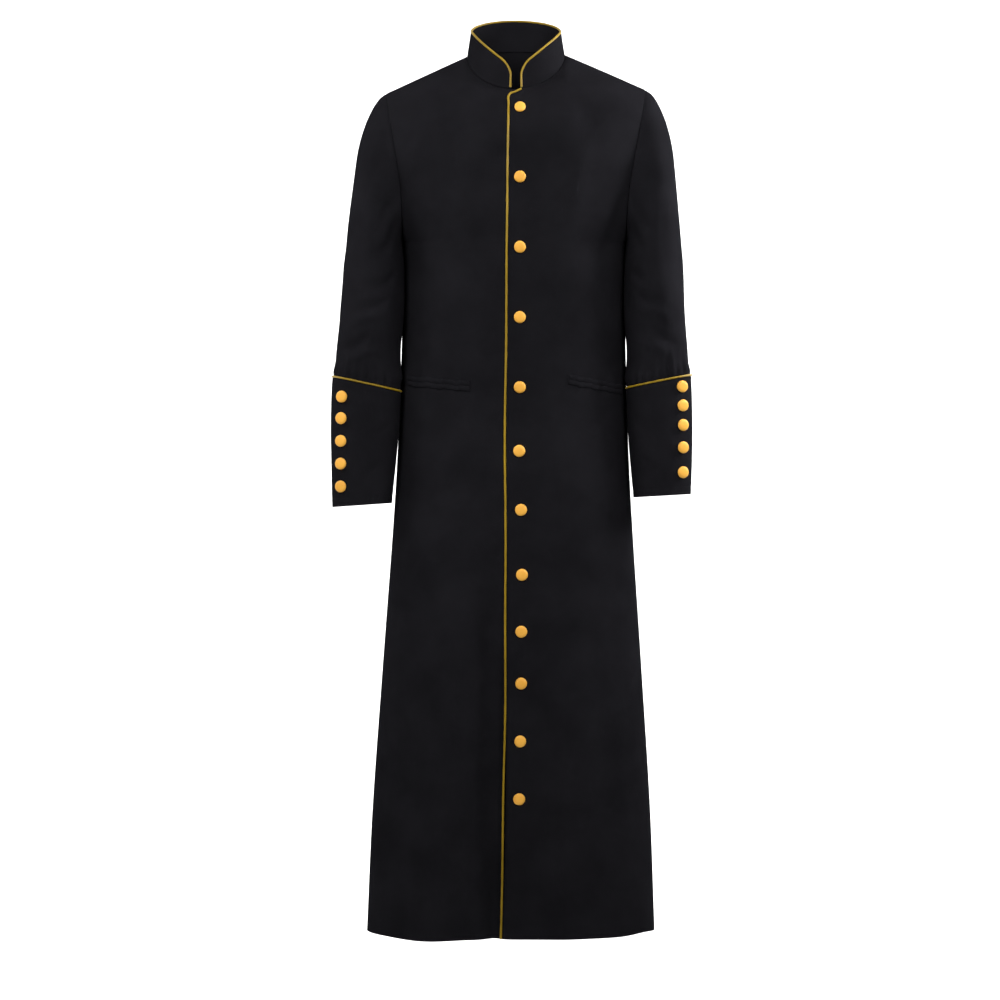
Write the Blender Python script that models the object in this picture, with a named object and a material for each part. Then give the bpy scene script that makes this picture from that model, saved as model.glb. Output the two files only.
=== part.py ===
"""Cassock: a long robe with a band collar, filled out as when worn but empty inside.

Units are metres, +Z is up and the front faces -Y, so the wearer's left is at +X. The origin lies
between the shoulders at the height of the neck's side points, where the wearer carries the robe.
"""
import math
from collections import namedtuple

import bmesh
import bpy
from mathutils import Vector

# Cloth and seams
WALL = 0.0015
SEAM_GAP = 0.0003
COLLAR_WALL = 0.0025
PIPING_RADIUS = 0.0017
ROUNDNESS = 2.2
LEAN = math.radians(0.3)
# The robe isn't quite even: a shoulder's rise for each metre out, and how much wider it is below
LEFT_SHOULDER_RISE = 0.034
RIGHT_SHOULDER_RISE = 0.010
RISE_FADE_Z = -0.300
RIGHT_SPREAD = 0.0140
LEFT_SPREAD = 0.0050

# Neck, shoulders and armholes
NECK_HALF_WIDTH = 0.077
NECK_HALF_DEPTH = 0.062
NECK_FRONT_DROP = 0.0507
NECK_BACK_RISE = 0.018
NECK_BACK_CROWN = 0.030
SHOULDER_X = 0.206
SHOULDER_Z = -0.060
ARMPIT_Z = -0.300
ARMHOLE_HALF_DEPTH = 0.066
ARMHOLE_MID_Z = (SHOULDER_Z + ARMPIT_Z) / 2
ARMHOLE_HALF_HEIGHT = (SHOULDER_Z - ARMPIT_Z) / 2
HEM_Z = -1.389

# Closure: the wearer's left front lies over the right one
OVERLAP_EDGE_X = -0.0115
UNDERLAP_X = 0.030
COLLAR_END_X = 0.0100
CORNER_RADIUS = 0.010
PIPING_SEAT = 0.0006
PIPING_LIFT = 0.0003
PIPING_END_GAP = 0.002
CLOSURE_GAP = 0.0006
CORNER_TOP_Z = -0.0590
NECK_SET = 0.060
LAYER_FADE = 0.040
PIPING_X = OVERLAP_EDGE_X - PIPING_RADIUS - PIPING_SEAT
CORNER_X = PIPING_X + CORNER_RADIUS
# Where the fronts' columns of points start in the closure, from the free edge; the under front's are
# mirrored
OVER_COLUMNS = (OVERLAP_EDGE_X, -0.0085, -0.0035, 0.0095, 0.0115, UNDERLAP_X)
UNDER_COLUMNS = (-UNDERLAP_X, -0.0115, 0.0035, 0.0115, UNDERLAP_X)

# Sections from the hem to the nape: half-width to the side or armhole seam, depth of front and back
Section = namedtuple("Section", "z half_width front_depth back_depth")
SECTIONS = (
    Section(HEM_Z, 0.2262, 0.110, 0.120),
    Section(-1.200, 0.2187, 0.111, 0.118),
    Section(-0.960, 0.2030, 0.111, 0.114),
    Section(-0.720, 0.1867, 0.111, 0.110),
    Section(-0.600, 0.1808, 0.111, 0.105),
    Section(-0.460, 0.1765, 0.113, 0.100),
    Section(ARMPIT_Z, 0.1750, 0.118, 0.110),
    Section(-0.229, 0.1775, 0.1165, 0.1135),
    Section(-0.181, 0.1845, 0.1125, 0.1125),
    Section(-0.118, 0.1960, 0.0995, 0.1055),
    Section(SHOULDER_Z, SHOULDER_X, 0.0700, 0.0915),
    Section(-0.040, SHOULDER_X, 0.0510, 0.0845),
    Section(-0.020, SHOULDER_X, 0.0300, 0.0770),
    Section(0.000, SHOULDER_X, 0.0100, 0.0670),
    Section(0.018, SHOULDER_X, 0.0090, 0.0620),
)

# Soft folds: a line from top to bottom, its half-width, and its depth, outward where positive
Fold = namedtuple("Fold", "x_top z_top x_bottom z_bottom width depth")
FRONT_FOLDS = (
    Fold(-0.034, -0.760, -0.026, HEM_Z, 0.016, -0.011),
    Fold(-0.095, -0.820, -0.125, HEM_Z, 0.060, 0.021),
    Fold(0.055, -0.900, 0.085, HEM_Z, 0.032, 0.005),
    Fold(0.160, -0.780, 0.185, HEM_Z, 0.028, -0.004),
    Fold(-0.115, -0.090, -0.105, -0.420, 0.024, 0.003),
    Fold(0.100, -0.090, 0.095, -0.420, 0.024, 0.003),
)
BACK_FOLDS = (
    Fold(-0.105, -0.620, -0.135, HEM_Z, 0.030, 0.010),
    Fold(-0.045, -0.700, -0.058, HEM_Z, 0.026, -0.009),
    Fold(0.020, -0.560, 0.024, HEM_Z, 0.034, 0.011),
    Fold(0.080, -0.740, 0.100, HEM_Z, 0.026, -0.008),
    Fold(0.135, -0.660, 0.160, HEM_Z, 0.028, 0.007),
    Fold(-0.110, -0.110, -0.085, -0.400, 0.026, 0.003),
    Fold(0.112, -0.110, 0.090, -0.380, 0.024, 0.003),
)
FOLD_FADE = 0.16

# The sleeve's outer and inner outline, seen from the front, down to the cuff
Outline = namedtuple("Outline", "z x")
SLEEVE_OUTER = (
    Outline(-0.530, 0.2815),
    Outline(-0.470, 0.2780),
    Outline(-0.388, 0.2717),
    Outline(-0.292, 0.2646),
    Outline(-0.197, 0.2542),
    Outline(-0.149, 0.2479),
    Outline(-0.112, 0.2385),
    Outline(-0.085, 0.2270),
    Outline(-0.068, 0.2160),
    Outline(SHOULDER_Z, SHOULDER_X),
)
SLEEVE_INNER = (
    Outline(-0.530, 0.1775),
    Outline(-0.465, 0.1785),
    Outline(-0.400, 0.1750),
    Outline(-0.340, 0.1752),
    Outline(ARMPIT_Z, 0.1752),
)

# Rings of the sleeve's cap, which fan out from the armpit; depth is half the ring's depth
CapRing = namedtuple("CapRing", "outer_z inner_z depth forward")
CAP_RINGS = (
    CapRing(SHOULDER_Z, ARMPIT_Z, ARMHOLE_HALF_DEPTH, 0.000),
    CapRing(-0.070, -0.3020, 0.0680, 0.001),
    CapRing(-0.092, -0.3050, 0.0700, 0.003),
    CapRing(-0.130, -0.3100, 0.0720, 0.006),
    CapRing(-0.178, -0.3180, 0.0730, 0.010),
    CapRing(-0.235, -0.3300, 0.0725, 0.015),
    CapRing(-0.300, -0.3500, 0.0710, 0.020),
)

# Rings of the forearm; share is the way from the cap to the cuff, gather the tucks' height
ArmRing = namedtuple("ArmRing", "share depth forward gather")
ARM_RINGS = (
    ArmRing(0.25, 0.0640, 0.026, 0.0),
    ArmRing(0.50, 0.0565, 0.030, 0.0),
    ArmRing(0.72, 0.0505, 0.033, 0.0004),
    ArmRing(0.88, 0.0470, 0.035, 0.0016),
    ArmRing(0.965, 0.0438, 0.036, 0.0012),
)
SLEEVE_END_DEPTH = 0.020
GATHERS = 8
# The armhole's curve fades out over this many rings
CAP_SET_RINGS = 4

# Cuffs: heights of the top and hem at the outer and inner side, and the ring's half-depths
Cuff = namedtuple("Cuff", "side name top_outer top_inner hem_outer hem_inner breadth button_heights")
CUFFS = (
    Cuff(-1, "right", -0.5100, -0.5330, -0.7165, -0.7100, 0.0006,
         (-0.5390, -0.5736, -0.6102, -0.6467, -0.6834)),
    Cuff(1, "left", -0.5070, -0.5260, -0.6950, -0.7000, -0.0032,
         (-0.5270, -0.5565, -0.5870, -0.6215, -0.6598)),
)
CUFF_OUTER = (
    Outline(-0.730, 0.2820),
    Outline(-0.674, 0.2840),
    Outline(-0.600, 0.2855),
    Outline(-0.540, 0.2855),
    Outline(-0.500, 0.2840),
)
CUFF_INNER = (
    Outline(-0.730, 0.1905),
    Outline(-0.690, 0.1875),
    Outline(-0.650, 0.1835),
    Outline(-0.600, 0.1795),
    Outline(-0.540, 0.1765),
    Outline(-0.500, 0.1765),
)
CUFF_TOP_DEPTH = 0.0450
CUFF_HEM_DEPTH = 0.0385
CUFF_FORWARD = 0.036
CUFF_CLEARANCE = 0.0005
CUFF_PIPING_SWELL = 0.0005

# Collar
COLLAR_TOP_HALF_WIDTH = 0.0715
COLLAR_TOP_FRONT_DEPTH = 0.0540
COLLAR_TOP_BACK_DEPTH = 0.0600
COLLAR_SIDE_HEIGHT = 0.0400
COLLAR_TOP_FRONT_DROP = 0.0530
COLLAR_TOP_BACK_RISE = 0.0230
COLLAR_CORNER = 0.016
COLLAR_SEAM_GAP = 0.0011
# Share of the collar's thickness that lies outside the neck seam
COLLAR_OUTER_SHARE = 0.2
# Angles from the collar's end that round its corner, and shares of its height down its end
COLLAR_CORNER_TURNS = (0.0, 0.022, 0.060, 0.115, 0.190)
COLLAR_END_SHARES = (0.16, 0.55)
# A part of the edge whose outward direction rises more than this belongs to the top
COLLAR_TOP_SLOPE = 0.3

# Pocket welts, from the inner end to the outer one
Welt = namedtuple("Welt", "name x_inner x_outer z_inner z_outer")
WELTS = (
    Welt("right", -0.068, -0.166, -0.5215, -0.5115),
    Welt("left", 0.083, 0.170, -0.5095, -0.5235),
)
WELT_HEIGHT = 0.016
WELT_SEAT = 0.0009

# Buttons
BUTTON_RADIUS = 0.0093
BUTTON_SEAT = 0.0004
# Rings of a button from its back: share of the radius, and height
BUTTON_RINGS = ((0.94, 0.0), (1.0, 0.0020), (0.76, 0.0042))
Button = namedtuple("Button", "x z")
FRONT_BUTTONS = (
    Button(0.0058, -0.0912),
    Button(0.0065, -0.2023),
    Button(0.0070, -0.3114),
    Button(0.0075, -0.4201),
    Button(0.0083, -0.5288),
    Button(0.0078, -0.6279),
    Button(0.0110, -0.7195),
    Button(0.0130, -0.8204),
    Button(0.0122, -0.9088),
    Button(0.0124, -0.9893),
    Button(0.0115, -1.0791),
    Button(0.0105, -1.1690),
)
CUFF_BUTTON_ANGLE = math.radians(43)

# Fineness of the solids
ARMHOLE_STEPS = 12
YOKE_STEPS = 4
BODY_STEPS = 11
FRONT_NECK_STEPS = 4
BACK_NECK_STEPS = 6
SHOULDER_STEPS = 9
CUFF_STEPS = 4
COLLAR_STEPS = 14
WELT_STEPS = 8
SLOPE_STEP = 0.004
PIPING_SIDES = 6
PIPING_CORNER_STEPS = 4
PIPING_HALF_STEP = 0.5
BUTTON_SIDES = 12
FRONT, BACK = -1, 1


def settled(point):
    """A point of the even robe, moved to where it is on the robe as it hangs."""
    fade = ease((point.z - RISE_FADE_Z) / -RISE_FADE_Z) * ease(1 - point.z / COLLAR_SIDE_HEIGHT)
    rise = LEFT_SHOULDER_RISE if point.x > 0 else RIGHT_SHOULDER_RISE
    if point.x > 0:
        spread = LEFT_SPREAD * ease((ARMPIT_Z - point.z) / (ARMPIT_Z - HEM_Z))
    else:
        spread = RIGHT_SPREAD * ease((SHOULDER_Z - point.z) / (SHOULDER_Z - ARMPIT_Z))
    return Vector((point.x * (1 + spread), point.y, point.z + point.x * rise * fade))


def smooth(rows, key, z):
    """A column of a table at height z, on a smooth curve through the rows, which rise in z."""
    if z <= rows[0].z:
        return getattr(rows[0], key)
    if z >= rows[-1].z:
        return getattr(rows[-1], key)
    i = max(k for k in range(len(rows) - 1) if rows[k].z <= z)

    def slope(k):
        low, high = rows[max(k - 1, 0)], rows[min(k + 1, len(rows) - 1)]
        return (getattr(high, key) - getattr(low, key)) / (high.z - low.z)

    step = rows[i + 1].z - rows[i].z
    t = (z - rows[i].z) / step
    start, end = getattr(rows[i], key), getattr(rows[i + 1], key)
    return (
        start * (1 + 2 * t) * (1 - t) ** 2
        + end * t * t * (3 - 2 * t)
        + slope(i) * step * t * (1 - t) ** 2
        - slope(i + 1) * step * t * t * (1 - t)
    )


def rounded(t):
    """The other coordinate of a rounded square of half-size 1."""
    return max(0.0, 1.0 - abs(t) ** ROUNDNESS) ** (1.0 / ROUNDNESS)


def ease(t):
    """0 below 0, 1 above 1, and a smooth step between."""
    t = min(max(t, 0.0), 1.0)
    return t * t * (3 - 2 * t)


def side_reach(z):
    """Half-width of the body's panels: the side seam, then the armhole seam, then the shoulder."""
    return SHOULDER_X if z >= SHOULDER_Z else smooth(SECTIONS, "half_width", z)


def shoulder_z(x):
    """Height of the shoulder seam."""
    return SHOULDER_Z * (x - NECK_HALF_WIDTH) / (SHOULDER_X - NECK_HALF_WIDTH)


def shoulder_reach(z):
    """How far out the shoulder seam is at height z; above it the back rises to the nape."""
    if z <= 0:
        return NECK_HALF_WIDTH + (SHOULDER_X - NECK_HALF_WIDTH) * z / SHOULDER_Z
    return NECK_HALF_WIDTH * math.sqrt(max(0.0, 1 - (z / NECK_BACK_CROWN) ** 2))


def depth_at(z, side):
    return smooth(SECTIONS, "front_depth" if side == FRONT else "back_depth", z)


def fold_depth(x, z, side):
    """How far the soft folds move the cloth outward at a point."""
    total = 0.0
    for fold in FRONT_FOLDS if side == FRONT else BACK_FOLDS:
        along = (fold.z_top - z) / (fold.z_top - fold.z_bottom)
        line_x = fold.x_top + (fold.x_bottom - fold.x_top) * along
        strength = ease((fold.z_top - z) / FOLD_FADE)
        if fold.z_bottom > HEM_Z:
            strength *= ease((z - fold.z_bottom) / FOLD_FADE)
        total += fold.depth * strength * math.exp(-(((x - line_x) / fold.width) ** 2))
    return total * (1 - abs(x / side_reach(z)) ** 6)


def shell_y(x, z, side):
    """The garment's surface: y at a point of the front or back, folds included."""
    depth = depth_at(z, side)
    if z > SHOULDER_Z:
        return side * depth * rounded(x / max(shoulder_reach(z), abs(x)))
    edge = 0.0
    if z > ARMPIT_Z:
        edge = ARMHOLE_HALF_DEPTH * rounded((z - ARMHOLE_MID_Z) / ARMHOLE_HALF_HEIGHT)
    share = 1.0 - (edge / depth) ** ROUNDNESS
    inside = 1.0 - share * min(1.0, abs(x / side_reach(z))) ** ROUNDNESS
    return side * (depth * inside ** (1.0 / ROUNDNESS) + fold_depth(x, z, side))


def neckline(x, side):
    """The neck seam at x: its y and z."""
    turn = math.sqrt(max(0.0, 1 - (x / NECK_HALF_WIDTH) ** 2))
    rise = -NECK_FRONT_DROP if side == FRONT else NECK_BACK_RISE
    return side * NECK_HALF_DEPTH * turn, rise * turn


def closure_top_z(x, inset=0.0):
    """Height of the piping on the over front's upper edge, or of the cloth at an inset below it."""
    collar_z = neckline(COLLAR_END_X, FRONT)[1] - PIPING_RADIUS - SEAM_GAP
    if x < CORNER_X:
        reach = CORNER_RADIUS - inset
        across = min(CORNER_X - x, reach)
        return CORNER_TOP_Z - CORNER_RADIUS + math.sqrt(reach ** 2 - across ** 2)
    along = (COLLAR_END_X - x) / (COLLAR_END_X - CORNER_X)
    return collar_z + (CORNER_TOP_Z - collar_z) * along - inset


def top_of_column(x, side, over):
    """The upper end of a column of cloth that starts at x: its y and z."""
    if abs(x) >= NECK_HALF_WIDTH:
        return 0.0, shoulder_z(abs(x))
    y, z = neckline(x, side)
    if over and x < COLLAR_END_X:
        z = closure_top_z(x, PIPING_RADIUS + PIPING_SEAT)
        y = shell_y(x, z, side)
    return y, z


def column_heights(top_z):
    """Rows from the top edge to the hem: close at the shoulder, even in angle round the armhole."""
    turn = [math.pi * i / ARMHOLE_STEPS for i in range(ARMHOLE_STEPS + 1)]
    heights = [ARMHOLE_MID_Z + ARMHOLE_HALF_HEIGHT * math.cos(a) for a in turn]
    yoke_z = heights[YOKE_STEPS]
    upper = []
    for a in turn[:YOKE_STEPS]:
        share = (1 - math.cos(a)) / (1 - math.cos(turn[YOKE_STEPS]))
        upper.append(top_z + (yoke_z - top_z) * share)
    lower = [ARMPIT_Z + (HEM_Z - ARMPIT_Z) * i / BODY_STEPS for i in range(1, BODY_STEPS + 1)]
    return upper + heights[YOKE_STEPS:] + lower


def column_starts(first, neck_steps, shoulder_steps):
    """Where columns start along the neckline and the shoulder, from first out to the shoulder point."""
    start_turn = math.asin(first / NECK_HALF_WIDTH)
    neck = [
        NECK_HALF_WIDTH * math.sin(start_turn + (math.pi / 2 - start_turn) * i / neck_steps)
        for i in range(1, neck_steps + 1)
    ]
    shoulder = [
        NECK_HALF_WIDTH + (SHOULDER_X - NECK_HALF_WIDTH) * math.sin(math.pi / 2 * i / shoulder_steps)
        for i in range(1, shoulder_steps + 1)
    ]
    return neck + shoulder


def column_x(start, z, anchor):
    """A column's x at height z: those within the anchor are straight, the others fan out to the side."""
    if abs(start) <= anchor:
        return start
    share = (abs(start) - anchor) / (SHOULDER_X - anchor)
    return math.copysign(anchor + share * (side_reach(z) - anchor), start)


def panel_points(starts, side, over=False, anchor=0.0):
    """Rows of surface points of a front or back panel, row 0 along the neck and shoulder."""
    columns = []
    for start in starts:
        top_y, top_z = top_of_column(start, side, over)
        off = top_y - shell_y(start, top_z, side)
        column = []
        for z in column_heights(top_z):
            x = column_x(start, z, anchor)
            y = shell_y(x, z, side) + off * max(0.0, 1 - (top_z - z) / NECK_SET) ** 2
            column.append(Vector((x, side * max(side * y, SEAM_GAP / 2), z)))
        columns.append(column)
    return [list(row) for row in zip(*columns)]


def grid_normals(rows, wraps=False):
    """Unit normals of a grid of points, by the differences to the neighbours."""
    count = len(rows[0])
    normals = []
    for r, row in enumerate(rows):
        up, down = rows[max(r - 1, 0)], rows[min(r + 1, len(rows) - 1)]
        line = []
        for c in range(count):
            before = (c - 1) % count if wraps else max(c - 1, 0)
            after = (c + 1) % count if wraps else min(c + 1, count - 1)
            line.append((row[after] - row[before]).cross(down[c] - up[c]).normalized())
        normals.append(line)
    return normals


def outward_normals(rows, side):
    """Normals of a panel, turned outward and level with the seam along its edges."""
    normals = grid_normals(rows)
    sign = 1 if normals[len(rows) // 2][len(rows[0]) // 2].y * side > 0 else -1
    for r, line in enumerate(normals):
        for c, normal in enumerate(line):
            normal *= sign
            if abs(rows[r][c].y) < SEAM_GAP:
                line[c] = Vector((normal.x, 0.0, normal.z)).normalized()
    return normals


def moved(rows, normals, distance):
    """A copy of a grid, moved along its normals by a distance that may depend on the point."""
    lengths = distance if callable(distance) else lambda point: distance
    return [
        [point + normal * lengths(point) for point, normal in zip(row, line)]
        for row, line in zip(rows, normals)
    ]


def make_material(name, colour, roughness):
    material = bpy.data.materials.new(name)
    material.use_nodes = True
    shader = material.node_tree.nodes["Principled BSDF"]
    shader.inputs["Base Color"].default_value = (*colour, 1.0)
    shader.inputs["Roughness"].default_value = roughness
    shader.inputs["Metallic"].default_value = 0.0
    return material


def add_object(name, mesh, material, parent):
    mesh.materials.append(material)
    mesh.shade_smooth()
    mesh.set_sharp_from_angle(angle=math.radians(50))
    thing = bpy.data.objects.new(name, mesh)
    thing.parent = parent
    bpy.context.scene.collection.objects.link(thing)
    return thing


def mesh_from(name, points, faces):
    """A closed mesh with its faces turned outward."""
    mesh = bpy.data.meshes.new(name)
    mesh.from_pydata(points, [], faces)
    shape = bmesh.new()
    shape.from_mesh(mesh)
    bmesh.ops.triangulate(shape, faces=shape.faces)
    bmesh.ops.recalc_face_normals(shape, faces=shape.faces)
    shape.to_mesh(mesh)
    shape.free()
    return mesh


def wall_mesh(name, outer, inner, wraps=False):
    """A cloth wall between two grids of points, closed along its edges."""
    rows, columns = len(outer), len(outer[0])
    points = [settled(point) for grid in (outer, inner) for row in grid for point in row]
    last = columns if wraps else columns - 1

    def at(layer, r, c):
        return layer * rows * columns + r * columns + c % columns

    faces = []
    for c in range(last):
        for r in range(rows - 1):
            faces.append((at(0, r, c), at(0, r, c + 1), at(0, r + 1, c + 1), at(0, r + 1, c)))
            faces.append((at(1, r, c), at(1, r + 1, c), at(1, r + 1, c + 1), at(1, r, c + 1)))
        for r in (0, rows - 1):
            faces.append((at(0, r, c), at(1, r, c), at(1, r, c + 1), at(0, r, c + 1)))
    if not wraps:
        for r in range(rows - 1):
            for c in (0, columns - 1):
                faces.append((at(0, r, c), at(0, r + 1, c), at(1, r + 1, c), at(1, r, c)))
    return mesh_from(name, points, faces)


def tube_mesh(name, path, ups, radius, closed=False):
    """A round tube along a path; ups are directions that keep its rings from twisting."""
    count = len(path)
    points = []
    for i, centre in enumerate(path):
        before = path[(i - 1) % count] if closed else path[max(i - 1, 0)]
        after = path[(i + 1) % count] if closed else path[min(i + 1, count - 1)]
        along = (after - before).normalized()
        across = along.cross(ups[i]).normalized()
        up = across.cross(along)
        for k in range(PIPING_SIDES):
            turn = 2 * math.pi * (k + PIPING_HALF_STEP) / PIPING_SIDES
            point = centre + (across * math.cos(turn) + up * math.sin(turn)) * radius
            points.append(settled(point))
    faces = []
    for i in range(count if closed else count - 1):
        for k in range(PIPING_SIDES):
            here, there = i * PIPING_SIDES, (i + 1) % count * PIPING_SIDES
            after = (k + 1) % PIPING_SIDES
            faces.append((here + k, here + after, there + after, there + k))
    if not closed:
        faces.append(tuple(range(PIPING_SIDES)))
        faces.append(tuple((count - 1) * PIPING_SIDES + k for k in range(PIPING_SIDES)))
    return mesh_from(name, points, faces)


def front_panel(name, over):
    """One front with its half of the closure; the under front is made as its mirror image."""
    mirror = 1 if over else -1
    closure = OVER_COLUMNS if over else UNDER_COLUMNS
    beyond = column_starts(UNDERLAP_X, FRONT_NECK_STEPS, SHOULDER_STEPS)
    starts = [mirror * x for x in (*closure, *beyond)]
    rows = panel_points(starts, FRONT, over, anchor=UNDERLAP_X)
    normals = outward_normals(rows, FRONT)

    def layer(point):
        if over:
            return 0.0
        return -(WALL + CLOSURE_GAP) * (1 - ease((mirror * point.x - UNDERLAP_X) / LAYER_FADE))

    outer = moved(rows, normals, layer)
    inner = moved(rows, normals, lambda point: layer(point) - WALL)
    keep_on_side(outer, FRONT)
    keep_on_side(inner, FRONT)
    return wall_mesh(name, outer, inner)


def keep_on_side(rows, side):
    """Keeps the points of a panel on its own side of the side and shoulder seams."""
    for row in rows:
        for point in row:
            point.y = side * max(side * point.y, SEAM_GAP / 2)


def back_panel(name):
    half = [0.0] + column_starts(0.0, BACK_NECK_STEPS, SHOULDER_STEPS)
    starts = [-x for x in reversed(half[1:])] + half
    rows = panel_points(starts, BACK)
    inner = moved(rows, outward_normals(rows, BACK), -WALL)
    keep_on_side(inner, BACK)
    return wall_mesh(name, rows, inner)


def ring_turns():
    """Angles round a sleeve, from its outer side over the front and back round to the start."""
    return [math.pi * i / ARMHOLE_STEPS for i in range(2 * ARMHOLE_STEPS)]


def ring_points(side, outer_point, inner_point, half_depth, forward, grow=lambda turn: 0.0):
    """A ring between its outer and inner point; grow moves a point away from the middle."""
    middle = (outer_point + inner_point) / 2
    half = (outer_point - inner_point) / 2
    points = []
    for turn in ring_turns():
        out = math.cos(turn)
        ahead = rounded(out) * (1 if turn < math.pi else -1)
        if turn in (0.0, math.pi):
            ahead = 0.0
        reach = 1 + grow(turn) / half_depth
        offset = half * out * reach
        points.append(Vector((
            side * (middle.x + offset.x),
            -forward - ahead * half_depth * reach,
            middle.z + offset.z,
        )))
    return points


def armhole_ring(side):
    """The seam between body and sleeve, just outside the body's edge."""
    points = []
    for turn in ring_turns():
        z = ARMHOLE_MID_Z + ARMHOLE_HALF_HEIGHT * math.cos(turn)
        ahead = rounded(math.cos(turn)) * (1 if turn < math.pi else -1)
        if turn in (0.0, math.pi):
            ahead = 0.0
        x = side_reach(z) + SEAM_GAP
        points.append(Vector((side * x, -ahead * ARMHOLE_HALF_DEPTH, z)))
    return points


def sleeve_rows(cuff):
    """Rings of the sleeve's outer surface, from the armhole to inside the cuff."""
    rows = []
    seam = armhole_ring(cuff.side)
    for i, ring in enumerate(CAP_RINGS):
        outer = Vector((smooth(SLEEVE_OUTER, "x", ring.outer_z) + SEAM_GAP, 0, ring.outer_z))
        inner = Vector((smooth(SLEEVE_INNER, "x", ring.inner_z) + SEAM_GAP, 0, ring.inner_z))
        row = ring_points(cuff.side, outer, inner, ring.depth, ring.forward)
        if i == 0:
            first = row
        fade = max(0.0, 1 - i / CAP_SET_RINGS) ** 2
        rows.append([point + (edge - start) * fade for point, edge, start in zip(row, seam, first)])
    cap = CAP_RINGS[-1]
    for ring in ARM_RINGS:
        outer_z = cap.outer_z + (cuff.top_outer - cap.outer_z) * ring.share
        inner_z = cap.inner_z + (cuff.top_inner - cap.inner_z) * ring.share
        outer_x = smooth(SLEEVE_OUTER, "x", outer_z) + cuff.breadth * ease(ring.share)
        outer = Vector((outer_x, 0, outer_z))
        inner = Vector((smooth(SLEEVE_INNER, "x", inner_z), 0, inner_z))

        def tuck(turn, height=ring.gather):
            inner_side = max(0.0, -math.cos(turn))
            return height * math.cos(GATHERS * turn) * (1 - inner_side)

        rows.append(ring_points(cuff.side, outer, inner, ring.depth, ring.forward, tuck))
    for below in (0.0, SLEEVE_END_DEPTH):
        rows.append(cuff_ring(cuff, below, -(WALL + CUFF_CLEARANCE)))
    return rows


def cuff_ring(cuff, below, swell=0.0):
    """A ring of the cuff's outer surface, at a distance below its top edge."""
    share = below / (cuff.top_outer - cuff.hem_outer)
    outer_z = cuff.top_outer + (cuff.hem_outer - cuff.top_outer) * share
    inner_z = cuff.top_inner + (cuff.hem_inner - cuff.top_inner) * share
    outer = Vector((smooth(CUFF_OUTER, "x", outer_z) + cuff.breadth + swell, 0, outer_z))
    inner = Vector((smooth(CUFF_INNER, "x", inner_z) - swell, 0, inner_z))
    half_depth = CUFF_TOP_DEPTH + (CUFF_HEM_DEPTH - CUFF_TOP_DEPTH) * share + swell
    return ring_points(cuff.side, outer, inner, half_depth, CUFF_FORWARD)


def tube_normals(rows):
    """Normals of a sleeve or cuff, turned away from its middle."""
    normals = grid_normals(rows, wraps=True)
    middle = len(rows) // 2
    centre = sum(rows[middle], Vector()) / len(rows[middle])
    sign = 1 if (rows[middle][0] - centre).dot(normals[middle][0]) > 0 else -1
    return [[normal * sign for normal in line] for line in normals]


def sleeve(name, cuff):
    rows = sleeve_rows(cuff)
    inner = moved(rows, tube_normals(rows), -WALL)
    for edge, point in zip(rows[0], inner[0]):
        point.x = cuff.side * max(cuff.side * point.x, cuff.side * edge.x)
    return wall_mesh(name, rows, inner, wraps=True)


def cuff_wall(name, cuff):
    length = cuff.top_outer - cuff.hem_outer
    rows = [cuff_ring(cuff, length * i / CUFF_STEPS) for i in range(CUFF_STEPS + 1)]
    return wall_mesh(name, rows, moved(rows, tube_normals(rows), -WALL), wraps=True)


def cuff_piping(name, cuff):
    """Piping that stands on the cuff's upper edge, clear of the sleeve inside it."""
    rise = PIPING_RADIUS + SEAM_GAP
    path = [point + Vector((0, 0, rise)) for point in cuff_ring(cuff, 0.0, CUFF_PIPING_SWELL)]
    return tube_mesh(name, path, [Vector((0, 0, 1))] * len(path), PIPING_RADIUS, closed=True)


def collar_turns():
    """Angles round the neck from one collar end by the nape to the other, closest at the ends."""
    end = math.asin(COLLAR_END_X / NECK_HALF_WIDTH)
    corner = COLLAR_CORNER_TURNS[-1]
    rest = [
        corner + (math.pi - end - corner) * i / COLLAR_STEPS
        for i in range(1, COLLAR_STEPS + 1)
    ]
    half = [end + step for step in (*COLLAR_CORNER_TURNS, *rest)]
    return [-turn for turn in half] + list(reversed(half[:-1]))


def collar_edges(turn):
    """The collar's lower and upper edge points at an angle from the front."""
    front = max(0.0, math.cos(turn))
    back = max(0.0, -math.cos(turn))
    low = Vector((
        NECK_HALF_WIDTH * math.sin(turn),
        -NECK_HALF_DEPTH * math.cos(turn),
        NECK_BACK_RISE * back - NECK_FRONT_DROP * front + COLLAR_SEAM_GAP,
    ))
    high = Vector((
        COLLAR_TOP_HALF_WIDTH * math.sin(turn),
        -COLLAR_TOP_FRONT_DEPTH * front + COLLAR_TOP_BACK_DEPTH * back,
        COLLAR_SIDE_HEIGHT + COLLAR_TOP_BACK_RISE * back - COLLAR_TOP_FRONT_DROP * front,
    ))
    end = math.asin(COLLAR_END_X / NECK_HALF_WIDTH)
    from_end = (abs(turn) - end) * NECK_HALF_WIDTH
    cut = 0.0
    if from_end < COLLAR_CORNER:
        cut = COLLAR_CORNER - math.sqrt(COLLAR_CORNER ** 2 - (COLLAR_CORNER - from_end) ** 2)
    return low, high - (high - low).normalized() * cut


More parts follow.
